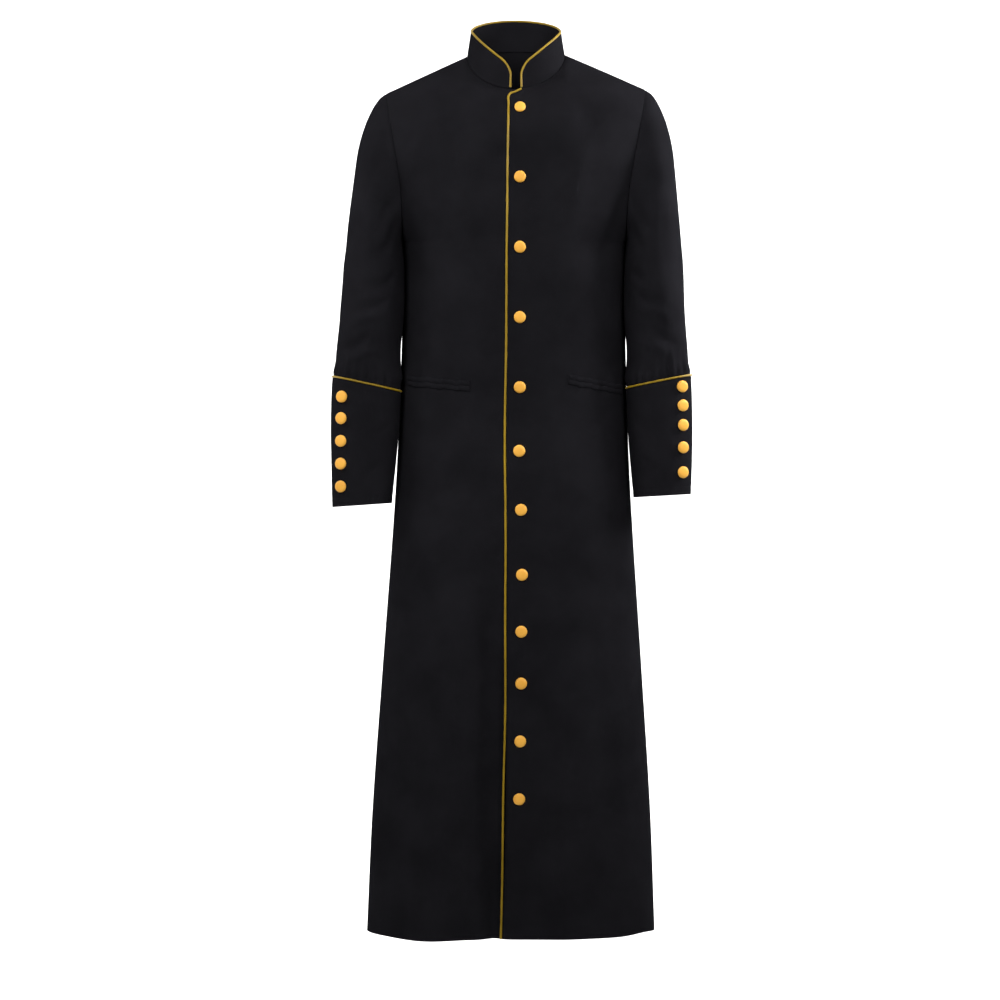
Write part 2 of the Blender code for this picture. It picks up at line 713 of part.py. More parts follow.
def collar(name):
    """The band collar, open at the front."""
    edges = [collar_edges(turn) for turn in collar_turns()]
    rows = [[high.lerp(low, share) for low, high in edges] for share in (0.0, 0.5, 1.0)]
    normals = []
    for row in rows:
        line = []
        for i, point in enumerate(row):
            along = row[min(i + 1, len(row) - 1)] - row[max(i - 1, 0)]
            line.append(Vector((along.y, -along.x, 0)).normalized())
        normals.append(line)
    if normals[1][len(edges) // 2].y < 0:
        normals = [[-normal for normal in line] for line in normals]
    outer = moved(rows, normals, COLLAR_WALL * COLLAR_OUTER_SHARE)
    inner = moved(rows, normals, -COLLAR_WALL * (1 - COLLAR_OUTER_SHARE))
    return wall_mesh(name, outer, inner)


def collar_piping(name):
    """Piping along the collar's upper edge and down both front ends."""
    edges = [collar_edges(turn) for turn in collar_turns()]
    out = PIPING_RADIUS + COLLAR_SEAM_GAP
    left, right = edges[0], edges[-1]
    path = [left[0].lerp(left[1], share) for share in COLLAR_END_SHARES]
    path += [high for low, high in edges]
    path += [right[0].lerp(right[1], share) for share in reversed(COLLAR_END_SHARES)]
    shifted = []
    ups = []
    for i, point in enumerate(path):
        along = (path[min(i + 1, len(path) - 1)] - path[max(i - 1, 0)]).normalized()
        away = Vector((point.x, point.y, 0)).normalized()
        edge_out = along.cross(away)
        on_the_top = abs(edge_out.z) > COLLAR_TOP_SLOPE
        if edge_out.z < 0 if on_the_top else edge_out.x * point.x > 0:
            edge_out.negate()
        shifted.append(point + edge_out.normalized() * out)
        ups.append(away)
    return tube_mesh(name, shifted, ups, PIPING_RADIUS)


def front_piping(name):
    """Piping along the over front's upper edge, round its corner and down to the hem."""
    first = COLLAR_END_X - PIPING_END_GAP
    route = [(x, closure_top_z(x)) for x in (first, (COLLAR_END_X + CORNER_X) / 2)]
    for i in range(PIPING_CORNER_STEPS + 1):
        turn = math.pi / 2 * (1 + i / PIPING_CORNER_STEPS)
        x = CORNER_X + CORNER_RADIUS * math.cos(turn)
        route.append((x, CORNER_TOP_Z - CORNER_RADIUS * (1 - math.sin(turn))))
    route += [(PIPING_X, z) for z in column_heights(route[-1][1] - CORNER_RADIUS)]
    path = [Vector((x, shell_y(max(x, OVERLAP_EDGE_X), z, FRONT) - PIPING_LIFT, z)) for x, z in route]
    ups = [Vector((0, -1, 0.2)).normalized()] * len(path)
    return tube_mesh(name, path, ups, PIPING_RADIUS)


def surface_frame(x, z):
    """A point of the front's surface and the direction out of it."""
    step = SLOPE_STEP
    point = Vector((x, shell_y(x, z, FRONT), z))
    across = Vector((2 * step, shell_y(x + step, z, FRONT) - shell_y(x - step, z, FRONT), 0))
    up = Vector((0, shell_y(x, z + step, FRONT) - shell_y(x, z - step, FRONT), 2 * step))
    return point, across.cross(up).normalized()


def pocket_welt(name, welt):
    """A narrow welt that lies on the front and follows its surface."""
    outer, inner = [], []
    for down in (0.0, 0.5, 1.0):
        outer_row, inner_row = [], []
        for i in range(WELT_STEPS + 1):
            share = i / WELT_STEPS
            x = welt.x_inner + (welt.x_outer - welt.x_inner) * share
            z = welt.z_inner + (welt.z_outer - welt.z_inner) * share - WELT_HEIGHT * down
            point, normal = surface_frame(x, z)
            inner_row.append(point + normal * WELT_SEAT)
            outer_row.append(point + normal * (WELT_SEAT + WALL))
        outer.append(outer_row)
        inner.append(inner_row)
    return wall_mesh(name, outer, inner)


def button_mesh():
    """A flat button with a rounded face; z is out of the cloth and 0 is its back."""
    points = []
    for share, height in BUTTON_RINGS:
        for k in range(BUTTON_SIDES):
            turn = 2 * math.pi * k / BUTTON_SIDES
            radius = BUTTON_RADIUS * share
            points.append(Vector((radius * math.cos(turn), radius * math.sin(turn), height)))
    faces = []
    for i in range(len(BUTTON_RINGS) - 1):
        for k in range(BUTTON_SIDES):
            after = (k + 1) % BUTTON_SIDES
            here, there = i * BUTTON_SIDES, (i + 1) * BUTTON_SIDES
            faces.append((here + k, here + after, there + after, there + k))
    faces.append(tuple(range(BUTTON_SIDES)))
    last = (len(BUTTON_RINGS) - 1) * BUTTON_SIDES
    faces.append(tuple(last + k for k in range(BUTTON_SIDES)))
    return mesh_from("button", points, faces)


def place_button(name, mesh, point, normal, material, parent):
    thing = add_object(name, mesh.copy(), material, parent)
    thing.location = settled(point) + normal * BUTTON_SEAT
    thing.rotation_euler = normal.to_track_quat("Z", "Y").to_euler()
    return thing


def cuff_button_seat(cuff, z):
    """Where a button sits on the cuff's outer front, and the direction out of the cuff."""
    ring = cuff_ring(cuff, cuff.top_outer - z)
    spot = CUFF_BUTTON_ANGLE / (math.pi / ARMHOLE_STEPS)
    first = int(spot)
    point = ring[first].lerp(ring[first + 1], spot - first)
    along = ring[first + 1] - ring[first]
    normal = Vector((along.y, -along.x, 0)).normalized()
    if normal.y > 0:
        normal.negate()
    return point, normal


def build():
    for thing in list(bpy.data.objects):
        bpy.data.objects.remove(thing, do_unlink=True)
    cloth = make_material("black_cloth", (0.013, 0.012, 0.015), 0.75)
    trim = make_material("mustard_piping", (0.30, 0.20, 0.035), 0.6)
    button_cloth = make_material("gold_button", (0.86, 0.45, 0.09), 0.55)
    robe = bpy.data.objects.new("cassock", None)
    robe.rotation_euler = (0.0, LEAN, 0.0)
    bpy.context.scene.collection.objects.link(robe)

    add_object("front_right", front_panel("front_right", over=False), cloth.copy(), robe)
    add_object("front_left", front_panel("front_left", over=True), cloth.copy(), robe)
    add_object("back", back_panel("back"), cloth.copy(), robe)
    add_object("collar", collar("collar"), cloth.copy(), robe)
    add_object("collar_piping", collar_piping("collar_piping"), trim.copy(), robe)
    add_object("front_piping", front_piping("front_piping"), trim.copy(), robe)
    for welt in WELTS:
        name = "pocket_welt_" + welt.name
        add_object(name, pocket_welt(name, welt), cloth.copy(), robe)
    button = button_mesh()
    for cuff in CUFFS:
        for name, maker in (("sleeve_", sleeve), ("cuff_", cuff_wall)):
            add_object(name + cuff.name, maker(name + cuff.name, cuff), cloth.copy(), robe)
        name = "cuff_piping_" + cuff.name
        add_object(name, cuff_piping(name, cuff), trim.copy(), robe)
        for i, z in enumerate(cuff.button_heights, start=1):
            point, normal = cuff_button_seat(cuff, z)
            name = f"cuff_button_{cuff.name}_{i}"
            place_button(name, button, point, normal, button_cloth.copy(), robe)
    for i, spot in enumerate(FRONT_BUTTONS, start=1):
        point, normal = surface_frame(spot.x, spot.z)
        place_button(f"front_button_{i:02d}", button, point, normal, button_cloth.copy(), robe)


build()
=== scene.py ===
"""Looks of the cassock: fine cloth shells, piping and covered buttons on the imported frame.

Units are metres, +Z is up and the front faces -Y. The surface functions follow those of the solids,
with small shifts where the photograph shows the cloth in a slightly different place.
"""

import math
from collections import namedtuple

import bpy
import numpy as np
from mathutils import Matrix, Vector


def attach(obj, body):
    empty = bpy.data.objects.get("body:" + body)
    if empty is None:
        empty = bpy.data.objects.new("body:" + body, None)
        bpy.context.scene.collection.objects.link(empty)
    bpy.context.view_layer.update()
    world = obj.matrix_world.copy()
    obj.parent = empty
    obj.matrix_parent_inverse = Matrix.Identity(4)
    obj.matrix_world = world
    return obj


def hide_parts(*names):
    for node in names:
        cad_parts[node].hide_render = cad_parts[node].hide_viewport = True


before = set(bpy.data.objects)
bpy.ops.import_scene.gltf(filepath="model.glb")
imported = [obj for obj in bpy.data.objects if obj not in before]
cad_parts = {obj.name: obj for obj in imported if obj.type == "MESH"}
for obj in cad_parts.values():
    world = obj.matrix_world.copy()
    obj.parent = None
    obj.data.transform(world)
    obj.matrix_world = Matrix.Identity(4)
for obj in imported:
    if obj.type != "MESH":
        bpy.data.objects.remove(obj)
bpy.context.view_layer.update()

# Cloth and seams
WALL = 0.0013
SEAM_GAP = 0.0003
COLLAR_WALL = 0.0025
PIPING_RADIUS = 0.0017
ROUNDNESS = 2.2
LEAN = math.radians(0.3)
# The robe isn't quite even: a shoulder's rise for each metre out, and how much wider it is below
LEFT_SHOULDER_RISE = 0.034
RIGHT_SHOULDER_RISE = 0.010
RISE_FADE_Z = -0.300
RIGHT_SPREAD = 0.0140
LEFT_SPREAD = 0.0050
# How far the cloth turns in at a sewn edge, and over what width
SEAM_ROLL = 0.0004
SEAM_ROLL_WIDTH = 0.0022

# Neck, shoulders and armholes
NECK_HALF_WIDTH = 0.077
NECK_HALF_DEPTH = 0.062
NECK_FRONT_DROP = 0.0592
NECK_BACK_RISE = 0.018
NECK_BACK_CROWN = 0.030
# Below the neck seam the cloth comes back to its own surface, and the seam's unevenness blends away
NECK_FADE = 0.060
NECK_BLEND = 0.010
SHOULDER_X = 0.206
SHOULDER_Z = -0.060
ARMPIT_Z = -0.300
ARMHOLE_HALF_DEPTH = 0.066
ARMHOLE_MID_Z = (SHOULDER_Z + ARMPIT_Z) / 2
ARMHOLE_HALF_HEIGHT = (SHOULDER_Z - ARMPIT_Z) / 2
HEM_Z = -1.389

# Closure: the wearer's left front lies over the right one
OVERLAP_EDGE_X = -0.0115
UNDERLAP_X = 0.030
COLLAR_END_X = 0.0100
CORNER_RADIUS = 0.010
PIPING_SEAT = 0.0006
PIPING_LIFT = 0.0003
CLOSURE_GAP = 0.0006
CORNER_TOP_Z = -0.0670
PIPING_X = OVERLAP_EDGE_X - PIPING_RADIUS - PIPING_SEAT
CORNER_X = PIPING_X + CORNER_RADIUS
# Where columns of points start in the closure: close together beside the over front's free edge, then
# on to the collar's end and the under front's edge; the under front's are mirrored
OVER_STARTS = np.r_[
    OVERLAP_EDGE_X, OVERLAP_EDGE_X + np.array([0.0006, 0.0014, 0.0026, 0.0042, 0.0062]),
    np.linspace(-0.0035, COLLAR_END_X - 0.0004, 5), COLLAR_END_X + 0.0008, 0.0145, 0.0190, 0.0245,
    UNDERLAP_X,
]
UNDER_STARTS = np.r_[-UNDERLAP_X, np.linspace(-0.026, 0.026, 14), UNDERLAP_X]
UNDERLAP_FADE = 0.040

# How far the closure strays from its line, and how the hem dips on one side and lifts on the other
Drift = namedtuple("Drift", "z x")
CLOSURE_DRIFTS = (
    Drift(HEM_Z, -0.0026),
    Drift(-1.300, -0.0016),
    Drift(-1.180, 0.0000),
    Drift(-1.040, 0.0018),
    Drift(-0.850, 0.0017),
    Drift(-0.700, 0.0004),
    Drift(-0.560, -0.0004),
    Drift(-0.370, 0.0010),
    Drift(-0.180, 0.0010),
    Drift(-0.090, 0.0024),
    Drift(-0.055, 0.0000),
)
DRIFT_WIDTH = 0.014
HEM_SAG = 0.0036
HEM_SAG_X = -0.145
HEM_SAG_WIDTH = 0.055
HEM_LIFT = 0.0044
HEM_LIFT_X = 0.212
HEM_LIFT_WIDTH = 0.026
HEM_BEND_HEIGHT = 0.140
# Drift and dip set in over this depth in front of the side seams
AHEAD_FADE = 0.050

# Sections from the hem to the nape: half-width to the side or armhole seam, depth of front and back
Section = namedtuple("Section", "z half_width front_depth back_depth")
SECTIONS = (
    Section(HEM_Z, 0.2262, 0.110, 0.120),
    Section(-1.200, 0.2187, 0.111, 0.118),
    Section(-0.960, 0.2030, 0.111, 0.114),
    Section(-0.720, 0.1867, 0.111, 0.110),
    Section(-0.600, 0.1808, 0.111, 0.105),
    Section(-0.460, 0.1765, 0.113, 0.100),
    Section(ARMPIT_Z, 0.1750, 0.118, 0.110),
    Section(-0.229, 0.1775, 0.1165, 0.1135),
    Section(-0.181, 0.1845, 0.1125, 0.1125),
    Section(-0.118, 0.1960, 0.0995, 0.1055),
    Section(SHOULDER_Z, SHOULDER_X, 0.0700, 0.0915),
    Section(-0.040, SHOULDER_X, 0.0510, 0.0845),
    Section(-0.020, SHOULDER_X, 0.0300, 0.0770),
    Section(0.000, SHOULDER_X, 0.0100, 0.0670),
    Section(0.018, SHOULDER_X, 0.0090, 0.0620),
)

# Soft folds: a line from top to bottom, its half-width, and its depth, outward where positive
Fold = namedtuple("Fold", "x_top z_top x_bottom z_bottom width depth")
FRONT_FOLDS = (
    Fold(-0.034, -0.760, -0.026, HEM_Z, 0.016, -0.011),
    Fold(-0.095, -0.820, -0.125, HEM_Z, 0.060, 0.021),
    Fold(0.055, -0.900, 0.085, HEM_Z, 0.032, 0.005),
    Fold(0.160, -0.780, 0.185, HEM_Z, 0.028, -0.004),
    Fold(-0.115, -0.090, -0.105, -0.420, 0.024, 0.003),
    Fold(0.100, -0.090, 0.095, -0.420, 0.024, 0.003),
)
BACK_FOLDS = (
    Fold(-0.105, -0.620, -0.135, HEM_Z, 0.030, 0.010),
    Fold(-0.045, -0.700, -0.058, HEM_Z, 0.026, -0.009),
    Fold(0.020, -0.560, 0.024, HEM_Z, 0.034, 0.011),
    Fold(0.080, -0.740, 0.100, HEM_Z, 0.026, -0.008),
    Fold(0.135, -0.660, 0.160, HEM_Z, 0.028, 0.007),
    Fold(-0.110, -0.110, -0.085, -0.400, 0.026, 0.003),
    Fold(0.112, -0.110, 0.090, -0.380, 0.024, 0.003),
)
FOLD_FADE = 0.16

# A crease bows sideways by a share of its length up to a limit, and widens on its way. It runs past
# its ends by a share of its length, and fades out there over another
CREASE_BOW_SHARE = 0.10
CREASE_BOW = 0.010
CREASE_START_WIDTH = 0.65
CREASE_WIDENING = 0.70
CREASE_OVERRUN = 0.08
CREASE_FADE = 0.38

# Creases on a panel: a line in x and z, its half-width and its depth, inward where negative
Crease = namedtuple("Crease", "x0 z0 x1 z1 width depth")
FRONT_CREASES = (
    # Drape from the shoulders down the chest
    Crease(-0.118, -0.075, -0.098, -0.235, 0.014, -0.0020),
    Crease(0.090, -0.065, 0.112, -0.170, 0.016, -0.0024),
    Crease(0.128, -0.120, 0.096, -0.260, 0.012, 0.0012),
    Crease(-0.146, -0.120, -0.150, -0.260, 0.010, 0.0014),
    Crease(-0.165, -0.235, -0.120, -0.330, 0.010, -0.0016),
    Crease(0.166, -0.230, 0.126, -0.335, 0.010, -0.0018),
    # Pulls at the closure, between the buttons
    Crease(-0.016, -0.150, -0.034, -0.175, 0.006, -0.0012),
    Crease(0.016, -0.226, 0.030, -0.262, 0.006, -0.0014),
    Crease(0.018, -0.360, 0.040, -0.352, 0.007, -0.0008),
    Crease(-0.017, -0.470, -0.046, -0.488, 0.007, -0.0010),
    Crease(0.014, -0.642, 0.034, -0.660, 0.005, -0.0012),
    Crease(0.022, -0.730, 0.006, -0.768, 0.006, -0.0014),
    Crease(-0.016, -0.768, -0.052, -0.812, 0.008, -0.0026),
    Crease(-0.016, -0.845, -0.030, -0.868, 0.006, -0.0014),
    Crease(0.016, -0.852, 0.026, -0.882, 0.005, -0.0012),
    Crease(0.014, -0.930, 0.008, -0.960, 0.005, -0.0014),
    Crease(0.010, -1.018, 0.030, -1.038, 0.006, -0.0010),
    Crease(0.014, -1.105, 0.030, -1.132, 0.006, -0.0010),
    # Soft slack at the waist and below the pockets
    Crease(-0.150, -0.560, -0.080, -0.590, 0.018, -0.0020),
    Crease(0.150, -0.566, 0.088, -0.604, 0.018, -0.0018),
    Crease(-0.060, -0.700, -0.110, -0.735, 0.020, 0.0014),
    Crease(0.060, -0.660, 0.120, -0.700, 0.020, 0.0014),
    Crease(0.140, -0.440, 0.170, -0.500, 0.012, -0.0022),
    Crease(-0.140, -0.440, -0.168, -0.500, 0.012, -0.0018),
    # The skirt
    Crease(-0.058, -0.880, -0.072, -1.290, 0.018, -0.0035),
    Crease(-0.165, -0.900, -0.190, -1.330, 0.016, -0.0032),
    Crease(0.040, -1.020, 0.052, -1.360, 0.014, -0.0026),
    Crease(0.120, -0.860, 0.142, -1.360, 0.018, -0.0036),
    Crease(0.170, -0.980, 0.196, -1.370, 0.012, 0.0020),
    Crease(-0.030, -1.240, -0.078, -1.385, 0.013, 0.0022),
    Crease(-0.027, -0.940, -0.028, -1.440, 0.0075, -0.0060),
    Crease(-0.046, -0.900, -0.052, -1.460, 0.0120, 0.0030),
)
BACK_CREASES = (
    Crease(-0.100, -0.070, -0.078, -0.230, 0.014, -0.0022),
    Crease(0.104, -0.075, 0.084, -0.210, 0.014, -0.0020),
    Crease(-0.166, -0.215, -0.118, -0.330, 0.011, -0.0024),
    Crease(0.165, -0.225, 0.122, -0.325, 0.011, -0.0020),
    Crease(-0.120, -0.420, -0.030, -0.455, 0.016, -0.0024),
    Crease(0.125, -0.440, 0.040, -0.462, 0.016, -0.0020),
    Crease(-0.060, -0.500, 0.050, -0.512, 0.014, -0.0014),
    Crease(0.060, -0.380, 0.130, -0.400, 0.014, 0.0012),
    Crease(-0.150, -0.760, -0.176, -1.330, 0.016, -0.0032),
    Crease(-0.012, -0.820, -0.020, -1.330, 0.015, -0.0034),
    Crease(0.052, -0.900, 0.062, -1.370, 0.014, 0.0022),
    Crease(0.175, -0.800, 0.196, -1.350, 0.014, -0.0026),
    Crease(-0.088, -0.980, -0.098, -1.370, 0.013, 0.0020),
)
# Rumples along a pocket: distance from the welt's inner end, slant, half-width and depth
Rumple = namedtuple("Rumple", "along slant width depth")
RUMPLES = (
    Rumple(0.004, 0.004, 0.0050, -0.0012),
    Rumple(0.017, -0.003, 0.0042, 0.0011),
    Rumple(0.030, 0.005, 0.0055, -0.0016),
    Rumple(0.044, -0.004, 0.0040, 0.0009),
    Rumple(0.055, 0.006, 0.0048, -0.0013),
    Rumple(0.071, 0.003, 0.0060, 0.0012),
    Rumple(0.084, -0.005, 0.0045, -0.0012),
    Rumple(0.096, 0.004, 0.0050, 0.0008),
)
RUMPLE_REACH = 0.017

# Slow waves that keep the cloth from looking pressed: pace in two directions, phase and share
Wave = namedtuple("Wave", "across down phase share")
WAVES = (
    Wave(31.0, 7.0, 0.0, 1.0),
    Wave(-17.0, 23.0, 1.3, 0.8),
    Wave(47.0, -13.0, 2.1, 0.45),
    Wave(9.0, 41.0, 0.7, 0.5),
    Wave(71.0, 29.0, 4.2, 0.25),
)
PANEL_WAVE_DEPTH = 0.00022
ARM_WAVE_DEPTH = 0.00018
COLLAR_WAVE_DEPTH = 0.00012
BACK_WAVE_PHASE = 2.4
COLLAR_WAVE_PHASE = 0.6

# Distances over which a panel's relief fades out: below the yoke, at its sides and at the side seams
YOKE_MARGIN = 0.004
YOKE_FADE = 0.030
SIDE_FADE = 0.006
SIDE_SEAM_FADE = 0.020

# The sleeve's outer and inner outline, seen from the front, down to the cuff
Outline = namedtuple("Outline", "z x")
SLEEVE_OUTER = (
    Outline(-0.530, 0.2795),
    Outline(-0.470, 0.2764),
    Outline(-0.388, 0.2684),
    Outline(-0.292, 0.2624),
    Outline(-0.197, 0.2535),
    Outline(-0.149, 0.2479),
    Outline(-0.112, 0.2385),
    Outline(-0.085, 0.2270),
    Outline(-0.068, 0.2160),
    Outline(SHOULDER_Z, SHOULDER_X),
)
SLEEVE_INNER = (
    Outline(-0.530, 0.1775),
    Outline(-0.465, 0.1785),
    Outline(-0.400, 0.1750),
    Outline(-0.340, 0.1752),
    Outline(ARMPIT_Z, 0.1752),
)

# How far the sleeve's inner side bulges toward the body
Bulge = namedtuple("Bulge", "z depth")
SLEEVE_BULGES = (
    Bulge(-0.524, 0.0006),
    Bulge(-0.513, 0.0040),
    Bulge(-0.503, 0.0028),
    Bulge(-0.485, 0.0017),
    Bulge(-0.460, 0.0018),
    Bulge(-0.435, 0.0030),
    Bulge(-0.390, 0.0034),
    Bulge(-0.330, 0.0030),
    Bulge(ARMPIT_Z, 0.0010),
    Bulge(-0.270, 0.0),
)

# Rings of the sleeve, from the armhole; z is the ring's number, counted from the top
Ring = namedtuple("Ring", "z outer_z inner_z depth forward")
CAP_RINGS = (
    Ring(0, SHOULDER_Z, ARMPIT_Z, ARMHOLE_HALF_DEPTH, 0.000),
    Ring(1, -0.070, -0.3020, 0.0680, 0.001),
    Ring(2, -0.092, -0.3050, 0.0700, 0.003),
    Ring(3, -0.130, -0.3100, 0.0720, 0.006),
    Ring(4, -0.178, -0.3180, 0.0730, 0.010),
    Ring(5, -0.235, -0.3300, 0.0725, 0.015),
    Ring(6, -0.300, -0.3500, 0.0710, 0.020),
)
# Rings of the forearm; share is the way from the cap to the cuff
ArmRing = namedtuple("ArmRing", "share depth forward")
ARM_RINGS = (
    ArmRing(0.25, 0.0640, 0.026),
    ArmRing(0.50, 0.0565, 0.030),
    ArmRing(0.72, 0.0505, 0.033),
    ArmRing(0.88, 0.0470, 0.035),
    ArmRing(0.965, 0.0438, 0.036),
)
SLEEVE_END_DEPTH = 0.020
# The armhole's curve fades out over this many rings
ARMHOLE_FADE_RINGS = 4
# More rings close to the armhole seam, where the cloth rolls in
SEAM_RINGS = (0.02, 0.06, 0.13)

# Tucks where the sleeve is gathered into the cuff: angle from the outer side, length and height
Tuck = namedtuple("Tuck", "angle length height")
TUCKS = (
    Tuck(4, 0.018, 0.0016),
    Tuck(24, 0.034, 0.0022),
    Tuck(41, 0.022, 0.0014),
    Tuck(57, 0.042, 0.0024),
    Tuck(72, 0.020, 0.0013),
    Tuck(90, 0.030, 0.0019),
    Tuck(107, 0.018, 0.0014),
    Tuck(123, 0.026, 0.0017),
    Tuck(142, 0.016, 0.0011),
    Tuck(205, 0.018, 0.0012),
    Tuck(224, 0.030, 0.0018),
    Tuck(243, 0.020, 0.0014),
    Tuck(261, 0.036, 0.0021),
    Tuck(280, 0.022, 0.0014),
    Tuck(298, 0.032, 0.0020),
    Tuck(318, 0.020, 0.0015),
    Tuck(338, 0.028, 0.0019),
)
TUCK_HALF_ANGLE = 5.5
TUCK_STRENGTH = 1.4
# The arms' tucks differ by a turn. A tuck leans as it rises, and a trough runs beside it
TUCK_TURN = 6.0
TUCK_LEAN = 54.0
TUCK_LEAN_EASE = 4.0
TUCK_START = 0.005
TUCK_END = 1.35
TROUGH_SHARE = 0.55
TROUGH_ANGLE = 9.0
TROUGH_HALF_ANGLE = 5.0
# Above the cuff the sleeve blouses a little: how far out, how high up and over what height
BLOUSE_DEPTH = 0.0008
BLOUSE_RISE = 0.010
BLOUSE_HALF_HEIGHT = 0.012
BLOUSE_START = 0.004

# Creases of a sleeve: angle and height of both ends, half-width and depth
SleeveCrease = namedtuple("SleeveCrease", "angle0 z0 angle1 z1 width depth")
SLEEVE_CREASES = (
    SleeveCrease(118, -0.215, 86, -0.300, 0.010, -0.0022),
    SleeveCrease(140, -0.255, 100, -0.330, 0.009, -0.0024),
    SleeveCrease(62, -0.110, 74, -0.230, 0.012, -0.0022),
    SleeveCrease(150, -0.340, 96, -0.372, 0.009, -0.0026),
    SleeveCrease(132, -0.385, 70, -0.402, 0.010, -0.0034),
    SleeveCrease(120, -0.412, 52, -0.432, 0.008, 0.0024),
    SleeveCrease(100, -0.440, 40, -0.468, 0.009, -0.0032),
    SleeveCrease(118, -0.468, 66, -0.484, 0.007, 0.0020),
    SleeveCrease(20, -0.300, 30, -0.430, 0.014, 0.0018),
    SleeveCrease(60, -0.250, 52, -0.370, 0.014, -0.0018),
    SleeveCrease(242, -0.215, 276, -0.305, 0.010, -0.0024),
    SleeveCrease(220, -0.260, 262, -0.335, 0.009, -0.0022),
    SleeveCrease(212, -0.350, 270, -0.366, 0.009, -0.0020),
    SleeveCrease(232, -0.396, 300, -0.412, 0.010, -0.0026),
    SleeveCrease(250, -0.430, 312, -0.452, 0.008, 0.0016),
    SleeveCrease(300, -0.110, 288, -0.240, 0.012, -0.0020),
    SleeveCrease(330, -0.280, 322, -0.430, 0.014, 0.0016),
)
CUFF_CREASES = (
    SleeveCrease(150, -0.575, 104, -0.600, 0.008, -0.0012),
    SleeveCrease(128, -0.640, 88, -0.668, 0.009, -0.0014),
    SleeveCrease(80, -0.600, 64, -0.655, 0.009, 0.0010),
    SleeveCrease(60, -0.676, 84, -0.712, 0.007, 0.0011),
    SleeveCrease(116, -0.690, 108, -0.715, 0.006, -0.0010),
    SleeveCrease(230, -0.600, 276, -0.622, 0.010, -0.0014),
    SleeveCrease(250, -0.660, 292, -0.684, 0.009, -0.0012),
    SleeveCrease(312, -0.560, 304, -0.640, 0.009, 0.0010),
)

# Angles on an arm count at this radius. The two arms' creases differ by a turn, a shift and a share
ARM_RADIUS = 0.052
ARM_TURN = 5.0
ARM_SHIFT = 0.006
ARM_SHARE = 0.12
ARM_WAVE_PACE = 1.3
# Relief fades out at the ends of a sleeve and at a cuff's top over these lengths
SLEEVE_FADE = 0.012
CUFF_FADE = 0.010
# On the side toward the body the relief is weaker: by how much, and from where round the arm
BODY_SIDE_LOSS = 0.85
BODY_SIDE_START = 0.55
BODY_SIDE_FADE = 0.35

# Cuffs: heights of the top and hem at the outer and inner side, and of the buttons
Cuff = namedtuple("Cuff", "side name top_outer top_inner hem_outer hem_inner breadth button_heights")
CUFFS = (
    Cuff(-1, "right", -0.5142, -0.5372, -0.7184, -0.7115, 0.0006,
         (-0.5417, -0.5763, -0.6129, -0.6494, -0.6861)),
    Cuff(1, "left", -0.5090, -0.5300, -0.6950, -0.7006, -0.0032,
         (-0.5228, -0.5529, -0.5840, -0.6196, -0.6592)),
)
CUFF_OUTER = (
    Outline(-0.730, 0.2812),
    Outline(-0.674, 0.2830),
    Outline(-0.600, 0.2843),
    Outline(-0.540, 0.2836),
    Outline(-0.500, 0.2815),
)
CUFF_INNER = (
    Outline(-0.730, 0.1905),
    Outline(-0.690, 0.1875),
    Outline(-0.650, 0.1835),
    Outline(-0.600, 0.1795),
    Outline(-0.540, 0.1765),
    Outline(-0.500, 0.1765),
)
CUFF_TOP_DEPTH = 0.0450
CUFF_HEM_DEPTH = 0.0385
CUFF_FORWARD = 0.036
CUFF_CLEARANCE = 0.0007
CUFF_BUTTON_ANGLE = math.radians(49.5)
CUFF_BUTTON_TIP = 0.50
CUFF_BUTTON_LIFT = 0.0016
# The cuff's hem: how high its stitching is, how deep that draws the cloth in, and how the edge rolls
CUFF_STITCH_RISE = 0.012
CUFF_STITCH_DEPTH = 0.0004
CUFF_HEM_ROLL = 0.0003
CUFF_DENT_WIDTH = 0.0012

# Collar
COLLAR_TOP_HALF_WIDTH = 0.0715
COLLAR_TOP_FRONT_DEPTH = 0.0540
COLLAR_TOP_BACK_DEPTH = 0.0600
COLLAR_SIDE_HEIGHT = 0.0372
COLLAR_TOP_FRONT_DROP = 0.0670
COLLAR_TOP_BEND = 0.86
COLLAR_SIDE_ROUNDING = 0.12
COLLAR_TOP_BACK_RISE = 0.0256
COLLAR_CORNER = 0.016
COLLAR_SEAM_GAP = 0.0006
# The collar is thinner at its free edges, and its middle is set in by a share of its wall
COLLAR_RIM_SHARE = 0.62
COLLAR_RIM_WIDTH = 0.0016
COLLAR_SET_IN = 0.3
COLLAR_FADE = 0.008
COLLAR_STITCH_DROP = 0.0035
# How far the collar's inner side reaches below the neck seam, and how deep the piping sits on its edge
NECK_TURNING = 0.0035
PIPING_BITE = 0.0006

# The cuff's cord is a little thinner than the others and stands a little off the cuff
CUFF_PIPING_SHARE = 0.88
CUFF_PIPING_SWELL = 0.0004
# Where the front's cord starts beside the collar, and its points along the top, round the corner and
# down the edge
PIPING_START_X = COLLAR_END_X - 0.0015
PIPING_TOP_POINTS = 10
PIPING_CORNER_POINTS = 12
PIPING_EDGE_POINTS = 330
# The collar's cord reaches down its ends over these shares of their height
COLLAR_END_SHARES = np.linspace(0.02, 0.94, 10)

# Slow ripples along a cord or a welt: their size, their pace and their phase
Ripple = namedtuple("Ripple", "size pace phase")
FRONT_CORD_RIPPLES = (Ripple(0.04, 310.0, 0.0), Ripple(0.03, 127.0, 1.0))
FRONT_CORD_WANDER = (Ripple(0.0004, 23.0, 0.0),)
COLLAR_CORD_RIPPLES = (Ripple(0.04, 300.0, 0.0),)
CUFF_CORD_RIPPLES = (Ripple(0.05, 17.0, 0.0),)
WELT_RIPPLES = (Ripple(0.0006, 21.0, 0.0), Ripple(0.0004, 47.0, 1.0))
WANDER_FADE = 0.05

